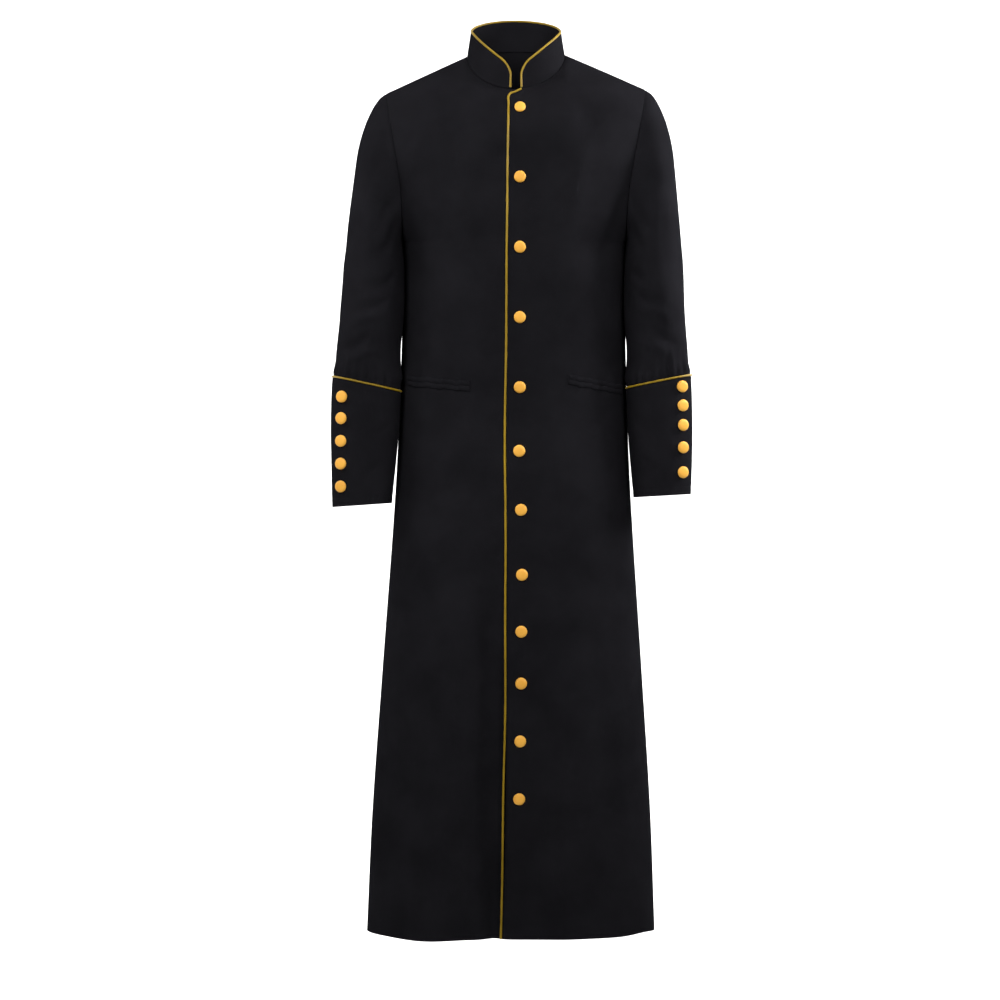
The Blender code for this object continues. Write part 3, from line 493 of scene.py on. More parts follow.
# Stitches: how far the first is from the line's start, their bow and bite in thread radii, and where
# the closure's line runs
STITCH_MARGIN = 0.001
STITCH_BOW = 1.3
STITCH_BITE = 0.4
STITCH_RINGS = 5
STITCH_SIDES = 4
STITCH_LIFT = 0.0001
CLOSURE_STITCH_TOP_Z = -0.075
CLOSURE_STITCH_INSET = 0.0030

# Pocket welts, from the inner end to the outer one
Welt = namedtuple("Welt", "name x_inner x_outer z_inner z_outer")
WELTS = (
    Welt("right", -0.068, -0.166, -0.5215, -0.5115),
    Welt("left", 0.083, 0.170, -0.5095, -0.5235),
)
WELT_HEIGHT = 0.016
WELT_SEAT = 0.0004
WELT_THICKNESS = 0.0016
# One roll of a welt: share of the welt's height from an edge to the slit, and how far it stands out
WELT_ROLL = ((0.00, 0.15), (0.04, 0.62), (0.12, 0.92), (0.24, 1.00), (0.36, 0.92), (0.44, 0.62), (0.49, 0.18))
WELT_COLUMNS = 90
# Shares of the welt's thickness at its edges, its ends and the tacks, and how its ends fade
WELT_EDGE_SHARE = 0.12
WELT_END_SHARE = 0.35
WELT_END_FADE = 0.03
WELT_BACK_SHARE = 0.3
TACK_SHARE = 0.7
# Where along the welt its tacks are, and how far they stay off its edges
TACKS = (("inner", 0.012), ("outer", 0.985))
TACK_MARGIN = 0.0008
TACK_POINTS = 12

# Buttons
BUTTON_RADIUS = 0.0093
BUTTON_SEAT = 0.0004
BUTTON_TURNS = 56
# From the middle of a button's front round its rim to its back: share of the radius, and height
BUTTON_PROFILE = (
    (0.00, 0.00455), (0.18, 0.00453), (0.38, 0.00444), (0.56, 0.00426), (0.70, 0.00400), (0.80, 0.00368),
    (0.88, 0.00325), (0.94, 0.00270), (0.98, 0.00215), (1.00, 0.00160), (0.99, 0.00105), (0.95, 0.00060),
    (0.88, 0.00025), (0.76, 0.00005), (0.40, 0.0),
)
PLEATS = 14
PLEAT_DEPTH = 0.006
PLEAT_TOP = 0.0012
BUTTONHOLE_HALF_LENGTH = 0.0115
BUTTONHOLE_HALF_WIDTH = 0.0016
BUTTONHOLE_SHIFT = 0.0035
BUTTONHOLE_POINTS = 60
BUTTONHOLE_END_SHARE = 1.12
BUTTONHOLE_END_SLOPE = 4
BUTTONHOLE_LIFT = 0.0002
# How much further each button is turned than the one before, so that their weaves differ
FRONT_BUTTON_TURN = 0.7
CUFF_BUTTON_TURN = 1.1
Button = namedtuple("Button", "x z")
FRONT_BUTTONS = (
    Button(0.0058, -0.0925),
    Button(0.0065, -0.2036),
    Button(0.0070, -0.3127),
    Button(0.0075, -0.4214),
    Button(0.0083, -0.5301),
    Button(0.0078, -0.6292),
    Button(0.0110, -0.7208),
    Button(0.0130, -0.8217),
    Button(0.0122, -0.9101),
    Button(0.0124, -0.9906),
    Button(0.0115, -1.0804),
    Button(0.0105, -1.1703),
)

# Fineness of the shells
ARMHOLE_STEPS = 48
YOKE_STEPS = 16
BODY_STEPS = 150
SHOULDER_COLUMNS = 34
NECK_COLUMNS = 12
SLEEVE_TURNS = 128
SLEEVE_ROWS = 120
CUFF_ROWS = 44
CUFF_TOP_ROWS = (0.0, 0.0005, 0.0014, 0.0030, 0.0060)
CUFF_HEM_ROWS = (0.0040, 0.0015, 0.0)
COLLAR_ROWS = np.r_[0.0, 0.012, 0.035, 0.08, np.linspace(0.15, 0.92, 12), 0.97, 0.99, 1.0]
CLOSURE_STITCH_POINTS = 620
EDGE_SHARES = (0.99950, 0.99990, 0.99998)
TOP_SHARES = (0.00002, 0.00015, 0.00080, 0.00300)
FRONT, BACK = -1, 1
LEANING = Matrix.Rotation(LEAN, 4, "Y")

# The photograph's view
CAMERA_DISTANCE = 5.0
CAMERA_X = -0.0253
CAMERA_Z = -0.7055
FRAME_WIDTH = 1.589
SENSOR = 36.0

# The studio: a pale sweep, panel lights and an even glow; a light's spread is in degrees
FLOOR_Z = -1.62
FLOOR_FRONT_Y = -4.5
BACKDROP_Y = 6.6
BACKDROP_TOP_Z = 5.0
SWEEP_RADIUS = 2.0
SWEEP_HALF_WIDTH = 8.0
SWEEP_STEPS = 16
GLOW = 0.09
Light = namedtuple("Light", "name place target size power spread")
LIGHTS = (
    Light("key", (1.2, -2.3, 1.1), (0.0, 0.0, -0.36), (1.3, 1.3), 5.5, 48),
    Light("fill", (-1.5, -2.4, 1.0), (0.0, 0.0, -0.42), (1.4, 1.4), 5.8, 48),
    Light("right_strip", (1.4, 0.05, 0.20), (0.28, 0.0, -0.25), (0.4, 0.6), 11, 90),
    Light("left_strip", (-1.4, -0.15, 0.25), (-0.28, 0.0, -0.25), (0.4, 0.6), 3, 90),
    Light("top", (0.0, -0.2, 2.1), (0.0, 0.0, -0.2), (1.8, 1.4), 12, 180),
    Light("backdrop_left", (-2.8, 2.2, 1.6), (-0.9, 5.6, -0.9), (1.6, 2.4), 330, 180),
    Light("backdrop_right", (2.8, 2.2, 1.6), (0.9, 5.6, -0.9), (1.6, 2.4), 330, 180),
)


# Surface functions, which follow those of the solids

def settled(points):
    """Points of the even robe, moved to where they are on the robe as it hangs."""
    x, z = points[:, 0], points[:, 2]
    fade = ease((z - RISE_FADE_Z) / -RISE_FADE_Z) * ease(1 - z / COLLAR_SIDE_HEIGHT)
    rise = np.where(x > 0, LEFT_SHOULDER_RISE, RIGHT_SHOULDER_RISE)
    left = LEFT_SPREAD * ease((ARMPIT_Z - z) / (ARMPIT_Z - HEM_Z))
    right = RIGHT_SPREAD * ease((SHOULDER_Z - z) / (SHOULDER_Z - ARMPIT_Z))
    spread = np.where(x > 0, left, right)
    ahead = ease(-points[:, 1] / AHEAD_FADE)
    stray = smooth(CLOSURE_DRIFTS, "x", z) * np.exp(-(((x - PIPING_X) / DRIFT_WIDTH) ** 2)) * ahead
    sag = HEM_SAG * np.exp(-(((x - HEM_SAG_X) / HEM_SAG_WIDTH) ** 2)) * ahead
    lift = HEM_LIFT * np.exp(-(((x - HEM_LIFT_X) / HEM_LIFT_WIDTH) ** 2))
    bend = (lift - sag) * ease((HEM_Z + HEM_BEND_HEIGHT - z) / HEM_BEND_HEIGHT)
    return np.stack([x * (1 + spread) + stray, points[:, 1], z + x * rise * fade + bend], axis=-1)


def smooth(rows, key, z):
    """A column of a table at heights z, on a smooth curve through the rows, which rise in z."""
    heights = np.array([row.z for row in rows], float)
    values = np.array([getattr(row, key) for row in rows], float)
    low = np.r_[0, np.arange(len(rows) - 1)]
    high = np.r_[np.arange(1, len(rows)), len(rows) - 1]
    slopes = (values[high] - values[low]) / (heights[high] - heights[low])
    z = np.clip(np.asarray(z, float), heights[0], heights[-1])
    i = np.clip(np.searchsorted(heights, z, side="right") - 1, 0, len(rows) - 2)
    step = heights[i + 1] - heights[i]
    t = (z - heights[i]) / step
    return (
        values[i] * (1 + 2 * t) * (1 - t) ** 2
        + values[i + 1] * t * t * (3 - 2 * t)
        + slopes[i] * step * t * (1 - t) ** 2
        - slopes[i + 1] * step * t * t * (1 - t)
    )


def rounded(t):
    """The other coordinate of a rounded square of half-size 1."""
    return np.maximum(0.0, 1.0 - np.abs(t) ** ROUNDNESS) ** (1.0 / ROUNDNESS)


def ease(t):
    """0 below 0, 1 above 1, and a smooth step between."""
    t = np.clip(t, 0.0, 1.0)
    return t * t * (3 - 2 * t)


def side_reach(z):
    """Half-width of the body's panels at height z."""
    return np.where(np.asarray(z) >= SHOULDER_Z, SHOULDER_X, smooth(SECTIONS, "half_width", z))


def shoulder_z(x):
    return SHOULDER_Z * (x - NECK_HALF_WIDTH) / (SHOULDER_X - NECK_HALF_WIDTH)


def shoulder_reach(z):
    """How far out the shoulder seam is at height z; above it the back rises to the nape."""
    slope = NECK_HALF_WIDTH + (SHOULDER_X - NECK_HALF_WIDTH) * z / SHOULDER_Z
    crown = NECK_HALF_WIDTH * np.sqrt(np.maximum(0.0, 1 - (z / NECK_BACK_CROWN) ** 2))
    return np.where(z <= 0, slope, crown)


def fold_depth(x, z, side):
    """How far the soft folds move the cloth outward at a point."""
    total = 0.0
    for fold in FRONT_FOLDS if side == FRONT else BACK_FOLDS:
        along = (fold.z_top - z) / (fold.z_top - fold.z_bottom)
        line_x = fold.x_top + (fold.x_bottom - fold.x_top) * along
        strength = ease((fold.z_top - z) / FOLD_FADE)
        if fold.z_bottom > HEM_Z:
            strength = strength * ease((z - fold.z_bottom) / FOLD_FADE)
        total = total + fold.depth * strength * np.exp(-(((x - line_x) / fold.width) ** 2))
    return total * (1 - np.abs(x / side_reach(z)) ** 6)


def shell_y(x, z, side):
    """The garment's surface: y at a point of the front or back, soft folds included."""
    x, z = np.broadcast_arrays(np.asarray(x, float), np.asarray(z, float))
    depth = smooth(SECTIONS, "front_depth" if side == FRONT else "back_depth", z)
    reach = np.maximum(np.maximum(shoulder_reach(z), np.abs(x)), 1e-6)
    yoke = depth * rounded(x / reach)
    height = np.clip((z - ARMHOLE_MID_Z) / ARMHOLE_HALF_HEIGHT, -1, 1)
    edge = np.where(z > ARMPIT_Z, ARMHOLE_HALF_DEPTH * rounded(height), 0.0)
    share = 1.0 - (edge / depth) ** ROUNDNESS
    inside = 1.0 - share * np.minimum(1.0, np.abs(x / side_reach(z))) ** ROUNDNESS
    body = depth * np.maximum(inside, 0.0) ** (1.0 / ROUNDNESS) + fold_depth(x, z, side)
    return side * np.where(z > SHOULDER_Z, yoke, body)


def neckline(x, side):
    """The neck seam at x: its y and z."""
    turn = np.sqrt(np.maximum(0.0, 1 - (x / NECK_HALF_WIDTH) ** 2))
    rise = -NECK_FRONT_DROP if side == FRONT else NECK_BACK_RISE
    return side * NECK_HALF_DEPTH * turn, rise * turn


def closure_top_z(x, inset=0.0):
    """Height of the piping on the over front's upper edge, or of the cloth at an inset below it."""
    collar_z = float(neckline(COLLAR_END_X, FRONT)[1]) - PIPING_RADIUS - SEAM_GAP
    if x < CORNER_X:
        reach = CORNER_RADIUS - inset
        across = min(CORNER_X - x, reach)
        return CORNER_TOP_Z - CORNER_RADIUS + math.sqrt(reach ** 2 - across ** 2)
    along = (COLLAR_END_X - x) / (COLLAR_END_X - CORNER_X)
    return collar_z + (CORNER_TOP_Z - collar_z) * along - inset


# Grids of points, rows by columns by xyz

def column_heights(top_z):
    """Rows from the top edge to the hem, for an array of column tops."""
    turn = np.pi * np.arange(ARMHOLE_STEPS + 1) / ARMHOLE_STEPS
    heights = ARMHOLE_MID_Z + ARMHOLE_HALF_HEIGHT * np.cos(turn)
    shares = (1 - np.cos(turn[:YOKE_STEPS])) / (1 - np.cos(turn[YOKE_STEPS]))
    shares = np.sort(np.r_[shares, TOP_SHARES])
    upper = top_z[None, :] + (heights[YOKE_STEPS] - top_z[None, :]) * shares[:, None]
    lower = ARMPIT_Z + (HEM_Z - ARMPIT_Z) * np.arange(1, BODY_STEPS + 1) / BODY_STEPS
    below = np.r_[heights[YOKE_STEPS:], lower]
    return np.vstack([upper, np.repeat(below[:, None], len(top_z), axis=1)])


def column_starts(first):
    """Where columns start along the neckline and the shoulder, from first out to the shoulder point."""
    start_turn = math.asin(first / NECK_HALF_WIDTH)
    neck_turn = np.linspace(start_turn, np.pi / 2, NECK_COLUMNS + 1)[1:]
    shares = np.sin(np.pi / 2 * np.arange(1, SHOULDER_COLUMNS + 1) / SHOULDER_COLUMNS)
    shares = np.sort(np.r_[shares, EDGE_SHARES])
    shoulder = NECK_HALF_WIDTH + (SHOULDER_X - NECK_HALF_WIDTH) * shares
    return np.r_[NECK_HALF_WIDTH * np.sin(neck_turn), shoulder]


def panel_points(starts, side, over=False, anchor=0.0):
    """Surface points of a front or back panel, row 0 along the neck and shoulder."""
    starts = np.asarray(starts, float)
    at_neck = np.abs(starts) < NECK_HALF_WIDTH
    neck_y, neck_z = neckline(np.clip(starts, -NECK_HALF_WIDTH, NECK_HALF_WIDTH), side)
    top_z = np.where(at_neck, neck_z, shoulder_z(np.abs(starts)))
    top_y = np.where(at_neck, neck_y, 0.0)
    if over:
        for c, x in enumerate(starts):
            if x < COLLAR_END_X:
                top_z[c] = closure_top_z(x, PIPING_RADIUS + PIPING_SEAT)
                top_y[c] = shell_y(x, top_z[c], side)
    z = column_heights(top_z)
    share = (np.abs(starts) - anchor) / (SHOULDER_X - anchor)
    fanned = np.copysign(anchor + share * (side_reach(z) - anchor), starts)
    x = np.where(np.abs(starts) <= anchor, starts, fanned)
    off = top_y - shell_y(starts, top_z, side)
    near = np.exp(-(((starts[:, None] - starts[None, :]) / NECK_BLEND) ** 2)) * np.abs(np.gradient(starts))
    off_around = (near @ off) / near.sum(axis=1)
    off = off + (off_around - off) * ease((top_z - z) / NECK_BLEND)
    y = shell_y(x, z, side) + off * np.maximum(0.0, 1 - (top_z - z) / NECK_FADE) ** 2
    y = side * np.maximum(side * y, SEAM_GAP / 2)
    return np.stack([x, y, z], axis=-1)


def unit(vectors):
    length = np.linalg.norm(vectors, axis=-1, keepdims=True)
    return vectors / np.maximum(length, 1e-12)


def grid_normals(points, wraps=False):
    """Unit normals of a grid of points, by the differences to the neighbours."""
    if wraps:
        across = np.roll(points, -1, axis=1) - np.roll(points, 1, axis=1)
    else:
        across = np.empty_like(points)
        across[:, 1:-1] = points[:, 2:] - points[:, :-2]
        across[:, 0] = points[:, 1] - points[:, 0]
        across[:, -1] = points[:, -1] - points[:, -2]
    down = np.empty_like(points)
    down[1:-1] = points[2:] - points[:-2]
    down[0] = points[1] - points[0]
    down[-1] = points[-1] - points[-2]
    return unit(np.cross(unit(across), unit(down)))


def panel_normals(points, side):
    """Normals of a panel, turned outward and level with the seam along its edges."""
    normals = grid_normals(points)
    middle = normals[len(points) // 2, points.shape[1] // 2]
    if middle[1] * side < 0:
        normals = -normals
    seam = np.abs(points[..., 1]) < SEAM_GAP
    normals[seam, 1] = 0.0
    return unit(normals)


def crease_depth(a, b, a0, b0, a1, b1, width, depth):
    """A soft trough or ridge along a line from (a0, b0) to (a1, b1), faded out at both ends."""
    length = math.hypot(a1 - a0, b1 - b0)
    along_a, along_b = (a1 - a0) / length, (b1 - b0) / length
    t = ((a - a0) * along_a + (b - b0) * along_b) / length
    bow = min(CREASE_BOW_SHARE * length, CREASE_BOW) * np.sin(np.pi * np.clip(t, 0, 1))
    off = (a - a0) * along_b - (b - b0) * along_a + bow * (1 if depth < 0 else -1)
    spread = width * (CREASE_START_WIDTH + CREASE_WIDENING * np.clip(t, 0, 1))
    ends = ease((t + CREASE_OVERRUN) / CREASE_FADE) * ease((1 + CREASE_OVERRUN - t) / CREASE_FADE)
    return depth * ends * np.exp(-((off / spread) ** 2))


def unevenness(a, b, size, phase):
    """The waves of a cloth at a and b, as deep as size."""
    return size * sum(
        wave.share * np.sin(wave.across * a + wave.down * b + wave.phase + phase) for wave in WAVES
    )


def rippled(ripples, along):
    """The sum of a few ripples at distances along a line."""
    return sum(ripple.size * np.sin(ripple.pace * along + ripple.phase) for ripple in ripples)


def pocket_rumples(x, z):
    """Small puckers in the cloth above and below each pocket."""
    total = np.zeros_like(x)
    for welt in WELTS:
        toward = 1 if welt.x_outer > welt.x_inner else -1
        share = np.clip((x - welt.x_inner) / (welt.x_outer - welt.x_inner), 0, 1)
        middle = welt.z_inner + (welt.z_outer - welt.z_inner) * share - WELT_HEIGHT / 2
        for rumple in RUMPLES:
            near = np.exp(-(((z - middle) / RUMPLE_REACH) ** 2))
            off = (x - welt.x_inner) * toward - rumple.along - rumple.slant * (z - middle) / WELT_HEIGHT
            total += rumple.depth * near * np.exp(-((off / rumple.width) ** 2))
    return total


def panel_relief(points, side):
    """Creases, rumples and unevenness of a panel, outward where positive."""
    x, z = points[..., 0], points[..., 2]
    relief = unevenness(x, z, PANEL_WAVE_DEPTH, 0.0 if side == FRONT else BACK_WAVE_PHASE)
    for crease in FRONT_CREASES if side == FRONT else BACK_CREASES:
        relief = relief + crease_depth(
            x, z, crease.x0, crease.z0, crease.x1, crease.z1, crease.width, crease.depth
        )
    if side == FRONT:
        relief = relief + pocket_rumples(x, z)
    below_yoke = ease((SHOULDER_Z - YOKE_MARGIN - z) / YOKE_FADE)
    inside = ease((side_reach(z) - np.abs(x)) / SIDE_FADE)
    at_side = np.where(z < ARMPIT_Z, ease(np.abs(points[..., 1]) / SIDE_SEAM_FADE), 1.0)
    return relief * below_yoke * inside * at_side


def grid_lengths(points, wraps=False):
    """Distance across and down a grid from its first column and row, for the weave."""
    across = np.linalg.norm(np.diff(points, axis=1), axis=-1)
    if wraps:
        last = np.linalg.norm(points[:, :1] - points[:, -1:], axis=-1)
        across = np.hstack([across, last])
    u = np.hstack([np.zeros((len(points), 1)), np.cumsum(across, axis=1)])
    down = np.linalg.norm(np.diff(points, axis=0), axis=-1)
    v = np.vstack([np.zeros((1, points.shape[1])), np.cumsum(down, axis=0)])
    if wraps:
        v = np.hstack([v, v[:, :1]])
    return u, v


def seam_roll(u, v, left=True, right=True, top=True, bottom=False):
    """How far the cloth turns in at its sewn edges."""
    total = np.zeros_like(u)
    for wanted, distance in (
        (left, u),
        (right, u[:, -1:] - u),
        (top, v),
        (bottom, v[-1:] - v),
    ):
        if wanted:
            total = np.maximum(total, np.exp(-((distance / SEAM_ROLL_WIDTH) ** 2)))
    return -SEAM_ROLL * total


# Meshes

def shell_object(name, outer, inner, u, v, wraps=False, sharp=50):
    """A closed wall between two grids, with its weave laid along u and v in metres."""
    rows, columns = outer.shape[:2]
    points = np.vstack([outer.reshape(-1, 3), inner.reshape(-1, 3)])
    cells = columns if wraps else columns - 1

    def quads(corners, turned=False):
        """Four-sided faces with their weave, by the layer, row and column of each corner."""
        corners = corners[::-1] if turned else corners
        face = [layer * rows * columns + r * columns + c % columns for layer, r, c in corners]
        place = [np.stack([u[r, c], v[r, c]], axis=-1) for layer, r, c in corners]
        return np.stack(face, axis=-1), np.stack(place, axis=1)

    r = np.repeat(np.arange(rows - 1), cells)
    c = np.tile(np.arange(cells), rows - 1)
    made = [
        quads([(0, r, c), (0, r, c + 1), (0, r + 1, c + 1), (0, r + 1, c)]),
        quads([(1, r, c), (1, r + 1, c), (1, r + 1, c + 1), (1, r, c + 1)]),
    ]
    c = np.arange(cells)
    for edge, turned in ((0, True), (rows - 1, False)):
        r = np.full(cells, edge)
        made.append(quads([(0, r, c), (0, r, c + 1), (1, r, c + 1), (1, r, c)], turned))
    if not wraps:
        r = np.arange(rows - 1)
        for edge, turned in ((0, False), (columns - 1, True)):
            c = np.full(rows - 1, edge)
            made.append(quads([(0, r, c), (0, r + 1, c), (1, r + 1, c), (1, r, c)], turned))
    faces = np.vstack([part[0] for part in made])
    places = np.vstack([part[1] for part in made])
    middle = (rows - 1) // 2 * cells + cells // 2
    a, b, d = (points[faces[middle, k]] for k in (0, 1, 3))
    out = outer[(rows - 1) // 2, cells // 2] - inner[(rows - 1) // 2, cells // 2]
    if np.dot(np.cross(b - a, d - a), out) < 0:
        faces, places = faces[:, ::-1], places[:, ::-1]
    return add_object(name, weave_mesh(name, points, faces.tolist(), places), sharp)


def weave_mesh(name, points, faces, places):
    """A mesh whose faces' corners have their places on the weave, in metres."""
    mesh = bpy.data.meshes.new(name)
    mesh.from_pydata(points.tolist(), [], faces)
    layer = mesh.uv_layers.new(name="weave")
    layer.data.foreach_set("uv", places.reshape(-1).astype(np.float32))
    return mesh


def add_object(name, mesh, sharp=50):
    """Links a mesh as an object of the leaning garment."""
    points = np.empty(len(mesh.vertices) * 3)
    mesh.vertices.foreach_get("co", points)
    mesh.vertices.foreach_set("co", settled(points.reshape(-1, 3)).reshape(-1))
    mesh.transform(LEANING)
    mesh.validate()
    mesh.shade_smooth()
    mesh.set_sharp_from_angle(angle=math.radians(sharp))
    thing = bpy.data.objects.new(name, mesh)
    bpy.context.scene.collection.objects.link(thing)
    return thing


def tube_object(name, path, ups, radius, closed=False, sides=14):
    """A round cord along a path; its weave runs along and round it."""
    path, ups = np.asarray(path, float), np.asarray(ups, float)
    if closed:
        along = np.roll(path, -1, axis=0) - np.roll(path, 1, axis=0)
    else:
        along = np.gradient(path, axis=0)
    along = unit(along)
    across = unit(np.cross(along, ups))
    up = np.cross(across, along)
    turn = 2 * np.pi * np.arange(sides) / sides
    ring = across[:, None] * np.cos(turn)[None, :, None] + up[:, None] * np.sin(turn)[None, :, None]
    radii = np.broadcast_to(radius, (len(path),))
    points = path[:, None] + ring * radii[:, None, None]
    count = len(path)
    r = np.repeat(np.arange(count if closed else count - 1), sides)
    k = np.tile(np.arange(sides), len(r) // sides)
    corners = ((r, k), (r, k + 1), (r + 1, k + 1), (r + 1, k))
    faces = np.stack([(row % count) * sides + spot % sides for row, spot in corners], axis=-1).tolist()
    length = np.r_[0, np.cumsum(np.linalg.norm(np.diff(path, axis=0), axis=1))]
    length = np.r_[length, length[-1] + np.linalg.norm(path[0] - path[-1])]
    girth = 2 * np.pi * PIPING_RADIUS / sides
    places = [np.stack([spot * girth, length[row]], axis=-1) for row, spot in corners]
    places = np.stack(places, axis=1).reshape(-1, 2)
    if not closed:
        first = list(range(sides))
        last = [(count - 1) * sides + i for i in first]
        faces += [first[::-1], last]
        places = np.vstack([places, np.zeros((2 * sides, 2))])
    return add_object(name, weave_mesh(name, points.reshape(-1, 3), faces, places))


# Materials

# How shade and roughness vary over a cloth, how strong its relief is, and the tint of its sheen
MOTTLE_SCALE = 14.0
FIBRE_SHARE = 0.35
SHADE_START = 0.45
SHADE_END = 0.90
ROUGHNESS_SPREAD = 0.06
FIBRE_HEIGHT = 0.5
BUMP_STRENGTH = 0.55
SHEEN_ROUGHNESS = 0.45
SHEEN_TINT_GAIN = 14
SHEEN_TINT_BASE = 0.25


def shader_of(name):
    material = bpy.data.materials.new(name)
    material.use_nodes = True
    return material, material.node_tree.nodes, material.node_tree.links


def weave_height(nodes, links, thread, slant):
    """Height of a twill weave whose threads are a given width apart, from the weave's coordinates."""
    place = nodes.new("ShaderNodeUVMap")
    place.uv_map = "weave"
    mapping = nodes.new("ShaderNodeMapping")
    mapping.inputs["Rotation"].default_value = (0.0, 0.0, slant)
    links.new(place.outputs["UV"], mapping.inputs["Vector"])
    bands = []
    for direction in ("X", "Y"):
        wave = nodes.new("ShaderNodeTexWave")
        wave.wave_type = "BANDS"
        wave.bands_direction = direction
        wave.inputs["Scale"].default_value = 1 / (thread * 20.0)
        wave.inputs["Distortion"].default_value = 0.8
        wave.inputs["Detail"].default_value = 1.0
        links.new(mapping.outputs["Vector"], wave.inputs["Vector"])
        bands.append(wave.outputs["Fac"])
    both = nodes.new("ShaderNodeMath")
    both.operation = "MULTIPLY"
    links.new(bands[0], both.inputs[0])
    links.new(bands[1], both.inputs[1])
    return both.outputs[0]


def noise(nodes, links, scale, detail):
    """Even noise in the object's own space."""
    place = nodes.new("ShaderNodeTexCoord")
    texture = nodes.new("ShaderNodeTexNoise")
    texture.inputs["Scale"].default_value = scale
    texture.inputs["Detail"].default_value = detail
    links.new(place.outputs["Object"], texture.inputs["Vector"])
    return texture.outputs["Fac"]


def ramp(nodes, links, value, stops):
    """A colour ramp through the given stops of place and colour."""
    node = nodes.new("ShaderNodeValToRGB")
    elements = node.color_ramp.elements
    while len(elements) < len(stops):
        elements.new(0.5)
    for element, (place, colour) in zip(elements, stops):
        element.position = place
        element.color = (*colour, 1.0)
    links.new(value, node.inputs["Fac"])
    return node.outputs["Color"]


def cloth_material(name, dark, light, thread, slant, roughness, sheen, specular, grain, depth):
    """Woven cloth: a thread relief, a fibre grain, slow shade changes and a soft sheen."""
    material, nodes, links = shader_of(name)
    shader = nodes["Principled BSDF"]
    mottle = noise(nodes, links, MOTTLE_SCALE, 3.0)
    fibres = noise(nodes, links, grain, 2.0)
    mix = nodes.new("ShaderNodeMath")
    mix.operation = "MULTIPLY_ADD"
    mix.inputs[1].default_value = FIBRE_SHARE
    links.new(fibres, mix.inputs[0])
    links.new(mottle, mix.inputs[2])
    shade = ramp(nodes, links, mix.outputs[0], ((SHADE_START, dark), (SHADE_END, light)))
    links.new(shade, shader.inputs["Base Color"])
    rough = nodes.new("ShaderNodeMapRange")
    rough.inputs["To Min"].default_value = roughness - ROUGHNESS_SPREAD
    rough.inputs["To Max"].default_value = roughness + ROUGHNESS_SPREAD
    links.new(fibres, rough.inputs["Value"])
    links.new(rough.outputs["Result"], shader.inputs["Roughness"])
    height = nodes.new("ShaderNodeMath")
    height.operation = "MULTIPLY_ADD"
    height.inputs[1].default_value = FIBRE_HEIGHT
    links.new(fibres, height.inputs[0])
    links.new(weave_height(nodes, links, thread, slant), height.inputs[2])
    bump = nodes.new("ShaderNodeBump")
    bump.inputs["Strength"].default_value = BUMP_STRENGTH
    bump.inputs["Distance"].default_value = depth
    links.new(height.outputs[0], bump.inputs["Height"])
    links.new(bump.outputs["Normal"], shader.inputs["Normal"])
    shader.inputs["Sheen Weight"].default_value = sheen
    shader.inputs["Sheen Roughness"].default_value = SHEEN_ROUGHNESS
    tint = [min(1.0, part * SHEEN_TINT_GAIN + SHEEN_TINT_BASE) for part in light]
    shader.inputs["Sheen Tint"].default_value = (*tint, 1.0)
    shader.inputs["Specular IOR Level"].default_value = specular
    return material


BLACK_CLOTH = cloth_material(
    "black_suiting", dark=(0.0078, 0.0076, 0.0090), light=(0.0112, 0.0109, 0.0129),
    thread=0.00055, slant=math.radians(45), roughness=0.66, sheen=0.004, specular=0.0,
    grain=900.0, depth=0.00006,
)
PIPING_CLOTH = cloth_material(
    "mustard_satin", dark=(0.210, 0.132, 0.005), light=(0.340, 0.214, 0.008),
    thread=0.00045, slant=math.radians(40), roughness=0.46, sheen=0.04, specular=0.25,
    grain=1500.0, depth=0.00004,
)
BUTTON_CLOTH = cloth_material(
    "gold_satin", dark=(0.700, 0.330, 0.036), light=(0.900, 0.460, 0.064),
    thread=0.00050, slant=math.radians(0), roughness=0.50, sheen=0.06, specular=0.30,
    grain=1600.0, depth=0.00005,
)
BLACK_THREAD = cloth_material(
    "black_thread", dark=(0.0060, 0.0059, 0.0070), light=(0.0120, 0.0117, 0.0140),
    thread=0.00030, slant=math.radians(30), roughness=0.55, sheen=0.003, specular=0.02,
    grain=3000.0, depth=0.00003,
)


def finish_piece(thing, material, slot, *nodes):
    """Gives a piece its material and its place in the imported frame."""
    thing.data.materials.clear()
    thing.data.materials.append(material)
    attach(thing, "root")
    if nodes:
        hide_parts(*nodes)


# Fronts and back

def panel_wall(points, normals, lift, side):
    """Outer and inner points of a panel, kept on its own side of the side seams."""
    outer = points + normals * lift[..., None]
    inner = outer - normals * WALL
    for grid in (outer, inner):
        grid[..., 1] = side * np.maximum(side * grid[..., 1], SEAM_GAP / 2)
    return outer, inner


def front_shell(over):
    """Walls of one front; the under front is made as a mirror image."""
    mirror = 1 if over else -1
    starts = mirror * np.r_[OVER_STARTS if over else UNDER_STARTS, column_starts(UNDERLAP_X)]
    points = panel_points(starts, FRONT, over, anchor=UNDERLAP_X)
    u, v = grid_lengths(points)
    lift = panel_relief(points, FRONT) + seam_roll(u, v, left=False)
    if not over:
        below = WALL + CLOSURE_GAP
        lift = lift - below * (1 - ease((mirror * points[..., 0] - UNDERLAP_X) / UNDERLAP_FADE))
    outer, inner = panel_wall(points, panel_normals(points, FRONT), lift, FRONT)
    return outer, inner, u, v


def back_shell():
    """Walls of the back."""
    half = np.r_[0.0, column_starts(0.0)]
    points = panel_points(np.r_[-half[:0:-1], half], BACK)
    u, v = grid_lengths(points)
    lift = panel_relief(points, BACK) + seam_roll(u, v)
    outer, inner = panel_wall(points, panel_normals(points, BACK), lift, BACK)
    return outer, inner, u, v


